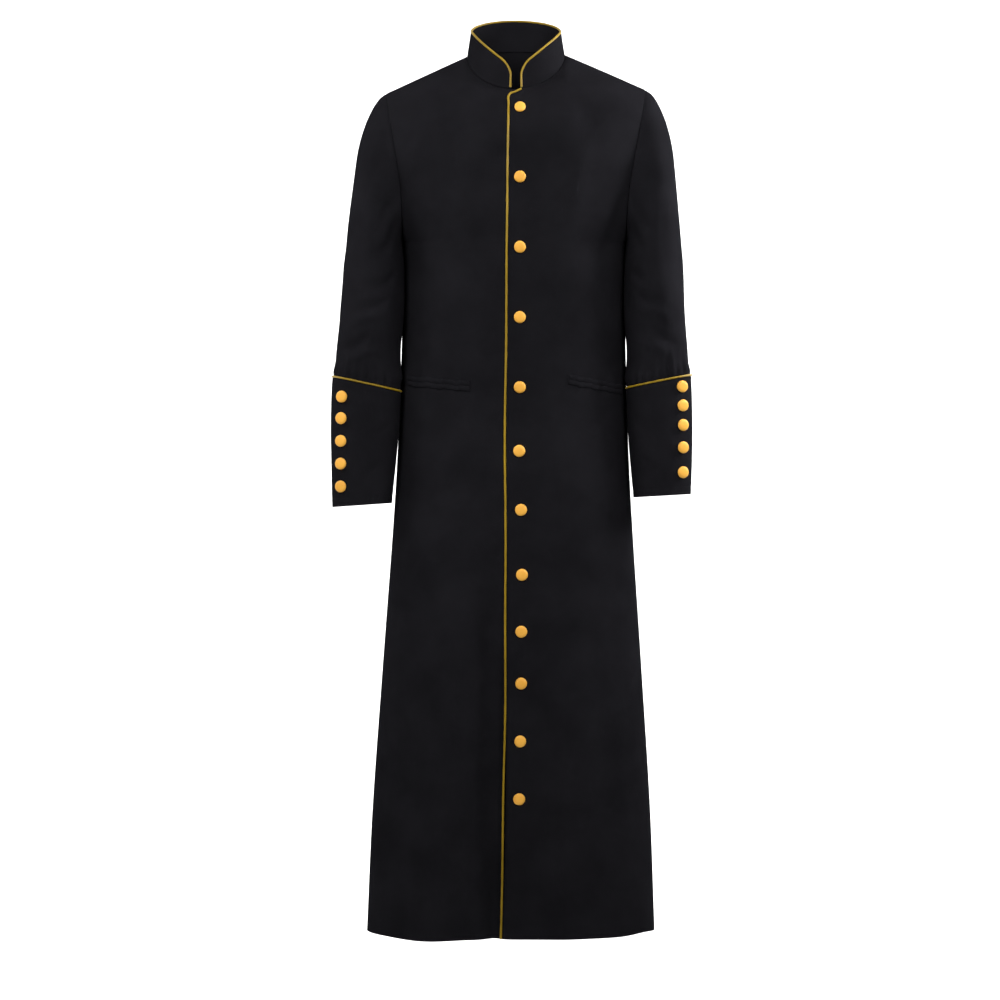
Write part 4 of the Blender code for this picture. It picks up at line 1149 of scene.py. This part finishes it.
def make_panels():
    for name, over in (("front_left", True), ("front_right", False)):
        thing = shell_object(name + "_cloth", *front_shell(over))
        finish_piece(thing, BLACK_CLOTH, "cassock_cloth", name)
    thing = shell_object("back_cloth", *back_shell())
    finish_piece(thing, BLACK_CLOTH, "cassock_cloth", "back")


# Sleeves and cuffs

TURNS = 2 * np.pi * np.arange(SLEEVE_TURNS) / SLEEVE_TURNS
RING_OUT = np.cos(TURNS)
RING_AHEAD = rounded(np.where(np.abs(np.sin(TURNS)) < 1e-9, 1.0, RING_OUT)) * np.sign(np.sin(TURNS))
RELIEF_SHARE = 1 - BODY_SIDE_LOSS * ease((-RING_OUT - BODY_SIDE_START) / BODY_SIDE_FADE)


def ring_points(side, outer_x, outer_z, inner_x, inner_z, half_depth, forward):
    """Rings between outer and inner points, as a grid of rows by turns."""
    middle_x, middle_z = (outer_x + inner_x) / 2, (outer_z + inner_z) / 2
    half_x, half_z = (outer_x - inner_x) / 2, (outer_z - inner_z) / 2
    x = side * (middle_x[:, None] + half_x[:, None] * RING_OUT)
    y = -forward[:, None] - half_depth[:, None] * RING_AHEAD
    z = middle_z[:, None] + half_z[:, None] * RING_OUT
    return np.stack([x, y, z], axis=-1)


def cuff_ring(cuff, below, swell=0.0):
    """Rings of the cuff's outer surface, at distances below its top edge."""
    below = np.atleast_1d(np.asarray(below, float))
    share = below / (cuff.top_outer - cuff.hem_outer)
    outer_z = cuff.top_outer + (cuff.hem_outer - cuff.top_outer) * share
    inner_z = cuff.top_inner + (cuff.hem_inner - cuff.top_inner) * share
    half_depth = CUFF_TOP_DEPTH + (CUFF_HEM_DEPTH - CUFF_TOP_DEPTH) * share + swell
    return ring_points(
        cuff.side, smooth(CUFF_OUTER, "x", outer_z) + cuff.breadth + swell, outer_z,
        smooth(CUFF_INNER, "x", inner_z) - swell, inner_z, half_depth, np.full_like(below, CUFF_FORWARD),
    )


def cuff_top_z(cuff):
    """Height of the cuff's slanting top edge all round the arm."""
    return cuff.top_inner + (cuff.top_outer - cuff.top_inner) * (1 + RING_OUT) / 2


def sleeve_key_rings(cuff):
    """The sleeve's rings by number: where each crosses the outer and inner side, and its half-depth."""
    cap = CAP_RINGS[-1]
    keys = list(CAP_RINGS)
    for i, ring in enumerate(ARM_RINGS, start=len(CAP_RINGS)):
        keys.append(Ring(
            i,
            cap.outer_z + (cuff.top_outer - cap.outer_z) * ring.share,
            cap.inner_z + (cuff.top_inner - cap.inner_z) * ring.share,
            ring.depth, ring.forward,
        ))
    return keys


def sleeve_points(cuff):
    """Grid of the sleeve's surface from the armhole to inside the cuff, without its creases."""
    keys = sleeve_key_rings(cuff)
    number = np.linspace(0, keys[-1].z, SLEEVE_ROWS)
    number = np.sort(np.r_[number, SEAM_RINGS])
    outer_z, inner_z = smooth(keys, "outer_z", number), smooth(keys, "inner_z", number)
    at_cap = ease((len(CAP_RINGS) - 1 - number) / 2)
    cap_z = CAP_RINGS[-1].outer_z
    breadth = cuff.breadth * ease((cap_z - outer_z) / (cap_z - cuff.top_outer))
    rows = ring_points(
        cuff.side, smooth(SLEEVE_OUTER, "x", outer_z) + SEAM_GAP * at_cap + breadth, outer_z,
        smooth(SLEEVE_INNER, "x", inner_z) + SEAM_GAP * at_cap, inner_z,
        smooth(keys, "depth", number), smooth(keys, "forward", number),
    )
    seam_z = ARMHOLE_MID_Z + ARMHOLE_HALF_HEIGHT * RING_OUT
    seam_x = cuff.side * (side_reach(seam_z) + SEAM_GAP)
    seam = np.stack([seam_x, -ARMHOLE_HALF_DEPTH * RING_AHEAD, seam_z], axis=-1)
    fade = np.maximum(0.0, 1 - number / ARMHOLE_FADE_RINGS) ** 2
    rows = rows + (seam - rows[0])[None] * fade[:, None, None]
    bulge = smooth(SLEEVE_BULGES, "depth", rows[..., 2]) * np.maximum(0.0, -RING_OUT) ** 4
    rows[..., 0] -= cuff.side * bulge
    inside = cuff_ring(cuff, np.linspace(0.0, SLEEVE_END_DEPTH, 6), -(WALL + CUFF_CLEARANCE))
    return np.vstack([rows, inside])


def arm_relief(points, creases, side):
    """Creases round a sleeve or cuff, in arc length round it and height."""
    around = np.broadcast_to(TURNS * ARM_RADIUS, points.shape[:2])
    z = points[..., 2]
    relief = unevenness(around * ARM_WAVE_PACE, z, ARM_WAVE_DEPTH, 1.0 + side)
    for crease in creases:
        z0, z1 = crease.z0 + ARM_SHIFT * side, crease.z1 + ARM_SHIFT * side
        depth = crease.depth * (1.0 - ARM_SHARE * side)
        for lap in (-360, 0, 360):
            start = math.radians(crease.angle0 + ARM_TURN * side + lap) * ARM_RADIUS
            end = math.radians(crease.angle1 + ARM_TURN * side + lap) * ARM_RADIUS
            relief = relief + crease_depth(around, z, start, z0, end, z1, crease.width, depth)
    return relief


def tuck_relief(side, above):
    """Small uneven tucks at heights above the cuff, with the cloth blousing a little over it."""
    angle = np.degrees(TURNS)[None, :]
    blouse = np.exp(-(((above - BLOUSE_RISE) / BLOUSE_HALF_HEIGHT) ** 2))
    relief = BLOUSE_DEPTH * blouse * ease(above / BLOUSE_START)
    lean = TUCK_LEAN * above / (1.0 + TUCK_LEAN_EASE * np.abs(above))
    for tuck in TUCKS:
        off = (angle - tuck.angle - TUCK_TURN * side - lean + 180.0) % 360.0 - 180.0
        trough = np.exp(-(((off - TROUGH_ANGLE) / TROUGH_HALF_ANGLE) ** 2))
        rise = np.exp(-((off / TUCK_HALF_ANGLE) ** 2)) - TROUGH_SHARE * trough
        along = ease(above / TUCK_START) * ease(TUCK_END - above / tuck.length)
        relief = relief + TUCK_STRENGTH * tuck.height * rise * along
    return np.where(above > 0, relief, 0.0)


def tube_normals(points):
    """Normals of a grid that wraps round, turned out of it."""
    normals = grid_normals(points, wraps=True)
    middle = len(points) // 2
    if (points[middle, 0] - points[middle].mean(axis=0)).dot(normals[middle, 0]) < 0:
        normals = -normals
    return normals


def make_sleeve(cuff):
    points = sleeve_points(cuff)
    normals = tube_normals(points)
    u, v = grid_lengths(points, wraps=True)
    down = v[:, :-1]
    above = points[..., 2] - cuff_top_z(cuff)[None, :]
    free = ease(above / SLEEVE_FADE) * ease(down / SLEEVE_FADE)
    relief = arm_relief(points, SLEEVE_CREASES, cuff.side) * free + tuck_relief(cuff.side, above)
    lift = relief * RELIEF_SHARE - SEAM_ROLL * np.exp(-((down / SEAM_ROLL_WIDTH) ** 2))
    outer = points + normals * lift[..., None]
    inner = outer - normals * WALL
    # At the armhole the wall's inner edge stays out of the body
    inner[0, :, 0] = cuff.side * np.maximum(cuff.side * inner[0, :, 0], cuff.side * outer[0, :, 0])
    name = "sleeve_" + cuff.name
    thing = shell_object(name + "_cloth", outer, inner, u, v, wraps=True)
    finish_piece(thing, BLACK_CLOTH, "cassock_cloth", name)


def make_cuff(cuff):
    length = cuff.top_outer - cuff.hem_outer
    hem_rows = length - np.array(CUFF_HEM_ROWS)
    middle_rows = np.linspace(CUFF_TOP_ROWS[-1], hem_rows[0], CUFF_ROWS)
    points = cuff_ring(cuff, np.r_[CUFF_TOP_ROWS[:-1], middle_rows, hem_rows[1:]])
    normals = tube_normals(points)
    u, v = grid_lengths(points, wraps=True)
    down = v[:, :-1]
    to_hem = v[-1:, :-1] - down
    lift = arm_relief(points, CUFF_CREASES, cuff.side) * ease(down / CUFF_FADE) * RELIEF_SHARE
    lift = lift - CUFF_STITCH_DEPTH * np.exp(-(((to_hem - CUFF_STITCH_RISE) / CUFF_DENT_WIDTH) ** 2))
    lift = lift - CUFF_HEM_ROLL * np.exp(-((to_hem / CUFF_DENT_WIDTH) ** 2))
    outer = points + normals * lift[..., None]
    inner = outer - normals * WALL
    name = "cuff_" + cuff.name
    thing = shell_object(name + "_cloth", outer, inner, u, v, wraps=True)
    finish_piece(thing, BLACK_CLOTH, "cassock_cloth", name)
    row = int(np.argmin(np.abs(to_hem[:, 0] - CUFF_STITCH_RISE)))
    stitches(name + "_stitch", outer[row], normals[row], closed=True)


# Sewing

def stitches(name, path, normals, closed=False, length=0.0026, gap=0.0012, radius=0.00022):
    """A row of stitches along a path on the cloth, as one mesh of short bowed threads."""
    path, normals = np.asarray(path), np.asarray(normals)
    if closed:
        path, normals = np.vstack([path, path[:1]]), np.vstack([normals, normals[:1]])
    run = np.r_[0, np.cumsum(np.linalg.norm(np.diff(path, axis=0), axis=1))]
    starts = np.arange(STITCH_MARGIN, run[-1] - length, length + gap)
    shares = np.linspace(0, 1, STITCH_RINGS)
    where = (starts[:, None] + shares[None, :] * length).reshape(-1)
    centre = np.stack([np.interp(where, run, path[:, k]) for k in range(3)], axis=-1)
    out = unit(np.stack([np.interp(where, run, normals[:, k]) for k in range(3)], axis=-1))
    bow = radius * np.tile(STITCH_BOW * np.sin(np.pi * shares) - STITCH_BITE, len(starts))
    centre = centre + out * bow[:, None]
    along = unit(np.gradient(centre, axis=0))
    across = unit(np.cross(along, out))
    sides = STITCH_SIDES
    turn = 2 * np.pi * np.arange(sides) / sides
    ring = across[:, None] * np.cos(turn)[None, :, None] + out[:, None] * np.sin(turn)[None, :, None]
    points = (centre[:, None] + ring * radius).reshape(-1, 3)
    faces = []
    for stitch in range(len(starts)):
        base = stitch * len(shares) * sides
        for i in range(len(shares) - 1):
            here, there = base + i * sides, base + (i + 1) * sides
            for k in range(sides):
                after = (k + 1) % sides
                faces.append((here + k, here + after, there + after, there + k))
        faces.append([base + k for k in reversed(range(sides))])
        last = base + (len(shares) - 1) * sides
        faces.append([last + k for k in range(sides)])
    places = points[np.concatenate(faces)][:, [0, 2]]
    finish_piece(add_object(name, weave_mesh(name, points, faces, places)), BLACK_THREAD, "cassock_cloth")


def make_seams():
    """Edge stitching beside the front piping."""
    heights = np.linspace(CLOSURE_STITCH_TOP_Z, HEM_Z + 0.004, CLOSURE_STITCH_POINTS)
    path, out = front_spots(np.full_like(heights, OVERLAP_EDGE_X + CLOSURE_STITCH_INSET), heights)
    stitches("closure_stitch", path + out * STITCH_LIFT, out)


def front_spots(x, z):
    """Points on the over front's finished surface at x and z, and the directions out of it."""
    step = 0.0015
    x, z = np.asarray(x, float), np.asarray(z, float)

    def surface(x, z):
        flat = np.stack([x, shell_y(x, z, FRONT), z], axis=-1)
        lift = panel_relief(flat, FRONT)
        return flat - np.stack([np.zeros_like(x), lift, np.zeros_like(x)], axis=-1)

    across = surface(x + step, z) - surface(x - step, z)
    up = surface(x, z + step) - surface(x, z - step)
    return surface(x, z), unit(np.cross(across, up))


# Piping

def make_front_piping():
    """The cord along the upper edge, round the corner and down the free edge of the over front."""
    route = [(x, closure_top_z(x)) for x in np.linspace(PIPING_START_X, CORNER_X, PIPING_TOP_POINTS)]
    for turn in np.linspace(math.pi / 2, math.pi, PIPING_CORNER_POINTS + 1)[1:]:
        route.append((
            CORNER_X + CORNER_RADIUS * math.cos(turn),
            CORNER_TOP_Z - CORNER_RADIUS * (1 - math.sin(turn)),
        ))
    start = route[-1][1]
    route += [(PIPING_X, z) for z in np.linspace(start - 0.004, HEM_Z, PIPING_EDGE_POINTS)]
    x, z = np.array(route).T
    drift = rippled(FRONT_CORD_WANDER, z) * ease((start - z) / WANDER_FADE)
    radius = PIPING_RADIUS * (1 + rippled(FRONT_CORD_RIPPLES, z))
    surface = front_spots(np.maximum(x, OVERLAP_EDGE_X), z)[0]
    path = np.stack([x + drift, surface[:, 1] - PIPING_LIFT, z], axis=-1)
    thing = tube_object("front_piping_cord", path, np.tile((0, -1, 0.2), (len(path), 1)), radius)
    finish_piece(thing, PIPING_CLOTH, "piping", "front_piping")


def make_cuff_piping(cuff):
    path = cuff_ring(cuff, 0.0, CUFF_PIPING_SWELL)[0] + np.array([0.0, 0.0, PIPING_RADIUS + SEAM_GAP])
    radius = PIPING_RADIUS * CUFF_PIPING_SHARE * (1 + rippled(CUFF_CORD_RIPPLES, TURNS))
    ups = np.tile((0.0, 0.0, 1.0), (len(path), 1))
    thing = tube_object(f"cuff_piping_{cuff.name}_cord", path, ups, radius, closed=True)
    finish_piece(thing, PIPING_CLOTH, "piping", "cuff_piping_" + cuff.name)


# Collar

def collar_edges(turns):
    """The collar's lower and upper edge points at angles from the front."""
    front, back = np.maximum(0.0, np.cos(turns)), np.maximum(0.0, -np.cos(turns))
    straight = np.where(front > 0, (1 - np.abs(np.sin(turns))) ** COLLAR_TOP_BEND, 0.0)
    drop = straight + (front - straight) * COLLAR_SIDE_ROUNDING
    low = np.stack([
        NECK_HALF_WIDTH * np.sin(turns),
        -NECK_HALF_DEPTH * np.cos(turns),
        NECK_BACK_RISE * back - NECK_FRONT_DROP * front + COLLAR_SEAM_GAP,
    ], axis=-1)
    high = np.stack([
        COLLAR_TOP_HALF_WIDTH * np.sin(turns),
        -COLLAR_TOP_FRONT_DEPTH * front + COLLAR_TOP_BACK_DEPTH * back,
        COLLAR_SIDE_HEIGHT + COLLAR_TOP_BACK_RISE * back - COLLAR_TOP_FRONT_DROP * drop,
    ], axis=-1)
    end = math.asin(COLLAR_END_X / NECK_HALF_WIDTH)
    into = np.clip(COLLAR_CORNER - (np.abs(turns) - end) * NECK_HALF_WIDTH, 0.0, COLLAR_CORNER)
    cut = COLLAR_CORNER - np.sqrt(COLLAR_CORNER ** 2 - into ** 2)
    return low, high - unit(high - low) * cut[:, None]


def collar_turns():
    """Angles round the neck from one collar end by the nape to the other, closest at the ends."""
    end = math.asin(COLLAR_END_X / NECK_HALF_WIDTH)
    corner = COLLAR_CORNER / NECK_HALF_WIDTH
    near_end = corner * (1 - np.cos(np.linspace(0, np.pi / 2, 14)))
    rest = np.linspace(corner, math.pi - end, 60)[1:]
    half = end + np.r_[near_end, rest]
    return np.r_[-half, half[-2::-1]]


def make_collar(low, high):
    """The band, with its stitching above the neck seam."""
    points = high[None] + (low - high)[None] * COLLAR_ROWS[:, None, None]
    along = np.gradient(points, axis=1)
    out = unit(np.stack([along[..., 1], -along[..., 0], np.zeros(points.shape[:2])], axis=-1))
    if (out * points)[..., :2].sum() < 0:
        out = -out
    u, v = grid_lengths(points)
    lift = unevenness(u, v, COLLAR_WAVE_DEPTH, COLLAR_WAVE_PHASE)
    lift = lift * ease(v / COLLAR_FADE) * ease((v[-1:] - v) / COLLAR_FADE) - COLLAR_WALL * COLLAR_SET_IN
    edge = np.minimum(np.minimum(u, u[:, -1:] - u), v)
    rim = COLLAR_RIM_SHARE + (1 - COLLAR_RIM_SHARE) * ease(edge / COLLAR_RIM_WIDTH)
    outer = points + out * (lift + COLLAR_WALL * rim / 2)[..., None]
    inner = points + out * (lift - COLLAR_WALL * rim / 2)[..., None]
    depth_inside = COLLAR_WALL * (0.5 + COLLAR_SET_IN)
    inner[-1] = points[-1] - out[-1] * depth_inside - np.array([0.0, 0.0, NECK_TURNING])
    thing = shell_object("collar_cloth", outer, inner, u, v)
    finish_piece(thing, BLACK_CLOTH, "cassock_cloth", "collar")
    row = int(np.argmin(np.abs(v[:, len(low) // 2] - COLLAR_STITCH_DROP)))
    stitches("collar_stitch", outer[row, 8:-8], out[row, 8:-8])


def make_collar_piping(low, high):
    """The cord up one end of the collar, along its upper edge and down the other end."""
    first = low[0] + (high[0] - low[0]) * COLLAR_END_SHARES[:, None]
    last = low[-1] + (high[-1] - low[-1]) * COLLAR_END_SHARES[::-1, None]
    path = np.vstack([first, high, last])
    away = unit(path * np.array([1.0, 1.0, 0.0]))
    out_of_edge = unit(np.cross(unit(np.gradient(path, axis=0)), away))
    if out_of_edge[len(path) // 2, 2] < 0:
        out_of_edge = -out_of_edge
    path = path + out_of_edge * (PIPING_RADIUS - PIPING_BITE) - away * COLLAR_WALL * COLLAR_SET_IN
    run = np.r_[0, np.cumsum(np.linalg.norm(np.diff(path, axis=0), axis=1))]
    radius = PIPING_RADIUS * (1 + rippled(COLLAR_CORD_RIPPLES, run))
    thing = tube_object("collar_piping_cord", path, away, radius)
    finish_piece(thing, PIPING_CLOTH, "piping", "collar_piping")


# Pockets

def make_welt(welt):
    """A jetted pocket: two narrow rolls of cloth with the slit between them, tacked at the ends."""
    shares = np.linspace(0, 1, WELT_COLUMNS)
    x = welt.x_inner + (welt.x_outer - welt.x_inner) * shares
    z_top = welt.z_inner + (welt.z_outer - welt.z_inner) * shares
    wave = rippled(WELT_RIPPLES, shares)
    ends = ease(shares / WELT_END_FADE) * ease((1 - shares) / WELT_END_FADE)
    end_share = WELT_END_SHARE + (1 - WELT_END_SHARE) * ends
    lower_roll = [(1 - across, height) for across, height in reversed(WELT_ROLL)]
    rows_outer, rows_inner = [], []
    for across, height in [*WELT_ROLL, *lower_roll]:
        surface, out = front_spots(x, z_top - WELT_HEIGHT * across + wave)
        thick = WELT_EDGE_SHARE + (1 - WELT_EDGE_SHARE) * height * end_share
        rows_outer.append(surface + out * (WELT_SEAT + WELT_THICKNESS * thick)[:, None])
        rows_inner.append(surface + out * (WELT_SEAT * WELT_BACK_SHARE))
    outer, inner = np.array(rows_outer), np.array(rows_inner)
    u, v = grid_lengths(outer)
    thing = shell_object(f"pocket_welt_{welt.name}_cloth", outer, inner, u, v, sharp=80)
    finish_piece(thing, BLACK_CLOTH, "cassock_cloth", "pocket_welt_" + welt.name)
    for end, at in TACKS:
        down = np.linspace(TACK_MARGIN, WELT_HEIGHT - TACK_MARGIN, TACK_POINTS)
        tack_x = np.full_like(down, welt.x_inner + (welt.x_outer - welt.x_inner) * at)
        top = welt.z_inner + (welt.z_outer - welt.z_inner) * at
        surface, out = front_spots(tack_x, top - down)
        lift = WELT_SEAT + WELT_THICKNESS * TACK_SHARE
        stitches(f"pocket_{welt.name}_{end}_tack", surface + out * lift, out)


# Buttons

def button_mesh(name):
    """A covered button: satin drawn over a low dome, rolled round the rim, with slight pleats below."""
    turn = 2 * np.pi * np.arange(BUTTON_TURNS) / BUTTON_TURNS
    rings = []
    for share, height in BUTTON_PROFILE[1:]:
        pleat = PLEAT_DEPTH * np.sin(turn * PLEATS) * (height < PLEAT_TOP)
        reach = BUTTON_RADIUS * share * (1 + pleat)
        heights = np.full_like(turn, height)
        rings.append(np.stack([reach * np.cos(turn), reach * np.sin(turn), heights], axis=-1))
    points = np.vstack([[(0.0, 0.0, BUTTON_PROFILE[0][1])], *rings, [(0.0, 0.0, 0.0)]])
    around = range(BUTTON_TURNS)
    faces = [(0, 1 + k, 1 + (k + 1) % BUTTON_TURNS) for k in around]
    for ring in range(len(rings) - 1):
        here, there = 1 + ring * BUTTON_TURNS, 1 + (ring + 1) * BUTTON_TURNS
        for k in around:
            after = (k + 1) % BUTTON_TURNS
            faces.append((here + k, there + k, there + after, here + after))
    last, base = 1 + (len(rings) - 1) * BUTTON_TURNS, len(points) - 1
    faces += [(base, last + (k + 1) % BUTTON_TURNS, last + k) for k in around]
    return weave_mesh(name, points, faces, points[np.concatenate(faces)][:, :2])


def place_button(name, node, point, normal, turn):
    mesh = button_mesh(name)
    normal = Vector(normal).normalized()
    seat = Matrix.Translation(Vector(point) + normal * BUTTON_SEAT)
    tilt = normal.to_track_quat("Z", "Y").to_matrix().to_4x4()
    mesh.transform(seat @ tilt @ Matrix.Rotation(turn, 4, "Z"))
    finish_piece(add_object(name, mesh, sharp=70), BUTTON_CLOTH, "button_cloth", node)


def buttonhole(name, point):
    """Close stitches round a level slit that runs from below the button toward the edge."""
    turn = np.linspace(0, 2 * np.pi, BUTTONHOLE_POINTS)
    length, width = BUTTONHOLE_HALF_LENGTH, BUTTONHOLE_HALF_WIDTH
    along = np.clip(np.cos(turn) * length * BUTTONHOLE_END_SHARE, -length, length)
    upward = np.sign(np.sin(turn)) * np.minimum(np.abs(np.sin(turn)) * BUTTONHOLE_END_SLOPE, 1) * width
    surface, out = front_spots(point[0] - BUTTONHOLE_SHIFT + along, point[2] + upward)
    stitches(name, surface + out * BUTTONHOLE_LIFT, out, length=0.0012, gap=0.0002, radius=0.00038)


def make_front_buttons():
    for i, spot in enumerate(FRONT_BUTTONS, start=1):
        surface, out = front_spots(np.array([spot.x]), np.array([spot.z]))
        node = f"front_button_{i:02d}"
        place_button(node + "_cover", node, surface[0], out[0], FRONT_BUTTON_TURN * i)
        buttonhole(f"buttonhole_{i:02d}", surface[0])


def make_cuff_buttons(cuff):
    """A row of buttons down the cuff, tipped toward the front."""
    spot = CUFF_BUTTON_ANGLE / (2 * math.pi / SLEEVE_TURNS)
    first = int(spot)
    for i, z in enumerate(cuff.button_heights, start=1):
        ring = cuff_ring(cuff, cuff.top_outer - z)[0]
        point = ring[first] + (ring[first + 1] - ring[first]) * (spot - first)
        along = ring[first + 2] - ring[first - 1]
        out = np.array([along[1], -along[0], 0.0])
        out = unit(out if out[1] < 0 else -out)
        out = unit(out + np.array([0.0, -CUFF_BUTTON_TIP, 0.0]))
        node = f"cuff_button_{cuff.name}_{i}"
        place_button(node + "_cover", node, point + out * CUFF_BUTTON_LIFT, out, CUFF_BUTTON_TURN * i)


# Stage, light and camera

def make_stage():
    """A pale floor that sweeps up into a backdrop."""
    foot_y = BACKDROP_Y - SWEEP_RADIUS
    profile = [(FLOOR_FRONT_Y, FLOOR_Z), (foot_y, FLOOR_Z)]
    for turn in np.linspace(0, math.pi / 2, SWEEP_STEPS + 1)[1:]:
        rise = SWEEP_RADIUS * (1 - math.cos(turn))
        profile.append((foot_y + SWEEP_RADIUS * math.sin(turn), FLOOR_Z + rise))
    profile.append((BACKDROP_Y, BACKDROP_TOP_Z))
    points = [(x, y, z) for y, z in profile for x in (-SWEEP_HALF_WIDTH, SWEEP_HALF_WIDTH)]
    faces = [(2 * i, 2 * i + 1, 2 * i + 3, 2 * i + 2) for i in range(len(profile) - 1)]
    mesh = bpy.data.meshes.new("sweep")
    mesh.from_pydata(points, [], faces)
    mesh.shade_smooth()
    sweep = bpy.data.objects.new("sweep", mesh)
    bpy.context.scene.collection.objects.link(sweep)
    material, nodes, _ = shader_of("pale_sweep")
    nodes["Principled BSDF"].inputs["Base Color"].default_value = (0.93, 0.93, 0.93, 1.0)
    nodes["Principled BSDF"].inputs["Roughness"].default_value = 0.9
    mesh.materials.append(material)


def area_light(light):
    """A white panel light aimed at its target; a smaller spread keeps its light together."""
    data = bpy.data.lights.new(light.name, "AREA")
    data.shape = "RECTANGLE"
    data.size, data.size_y = light.size
    data.energy = light.power
    data.spread = math.radians(light.spread)
    thing = bpy.data.objects.new(light.name, data)
    thing.location = light.place
    direction = Vector(light.target) - Vector(light.place)
    thing.rotation_euler = direction.to_track_quat("-Z", "Y").to_euler()
    bpy.context.scene.collection.objects.link(thing)


def make_light():
    for light in LIGHTS:
        area_light(light)
    world = bpy.data.worlds.new("studio")
    world.use_nodes = True
    background = world.node_tree.nodes["Background"]
    background.inputs["Color"].default_value = (1.0, 1.0, 1.0, 1.0)
    background.inputs["Strength"].default_value = GLOW
    bpy.context.scene.world = world


def make_camera():
    data = bpy.data.cameras.new("camera")
    data.sensor_width = SENSOR
    data.sensor_fit = "HORIZONTAL"
    data.lens = SENSOR * CAMERA_DISTANCE / FRAME_WIDTH
    camera = bpy.data.objects.new("camera", data)
    camera.location = (CAMERA_X, -CAMERA_DISTANCE, CAMERA_Z)
    camera.rotation_euler = (math.pi / 2, 0.0, 0.0)
    bpy.context.scene.collection.objects.link(camera)
    bpy.context.scene.camera = camera


bpy.context.scene.view_settings.view_transform = "Standard"
make_camera()
make_light()
make_stage()
make_panels()
make_seams()
for cuff in CUFFS:
    make_sleeve(cuff)
    make_cuff(cuff)
    make_cuff_piping(cuff)
collar_low, collar_high = collar_edges(collar_turns())
make_collar(collar_low, collar_high)
make_collar_piping(collar_low, collar_high)
make_front_piping()
for welt in WELTS:
    make_welt(welt)
make_front_buttons()
for cuff in CUFFS:
    make_cuff_buttons(cuff)
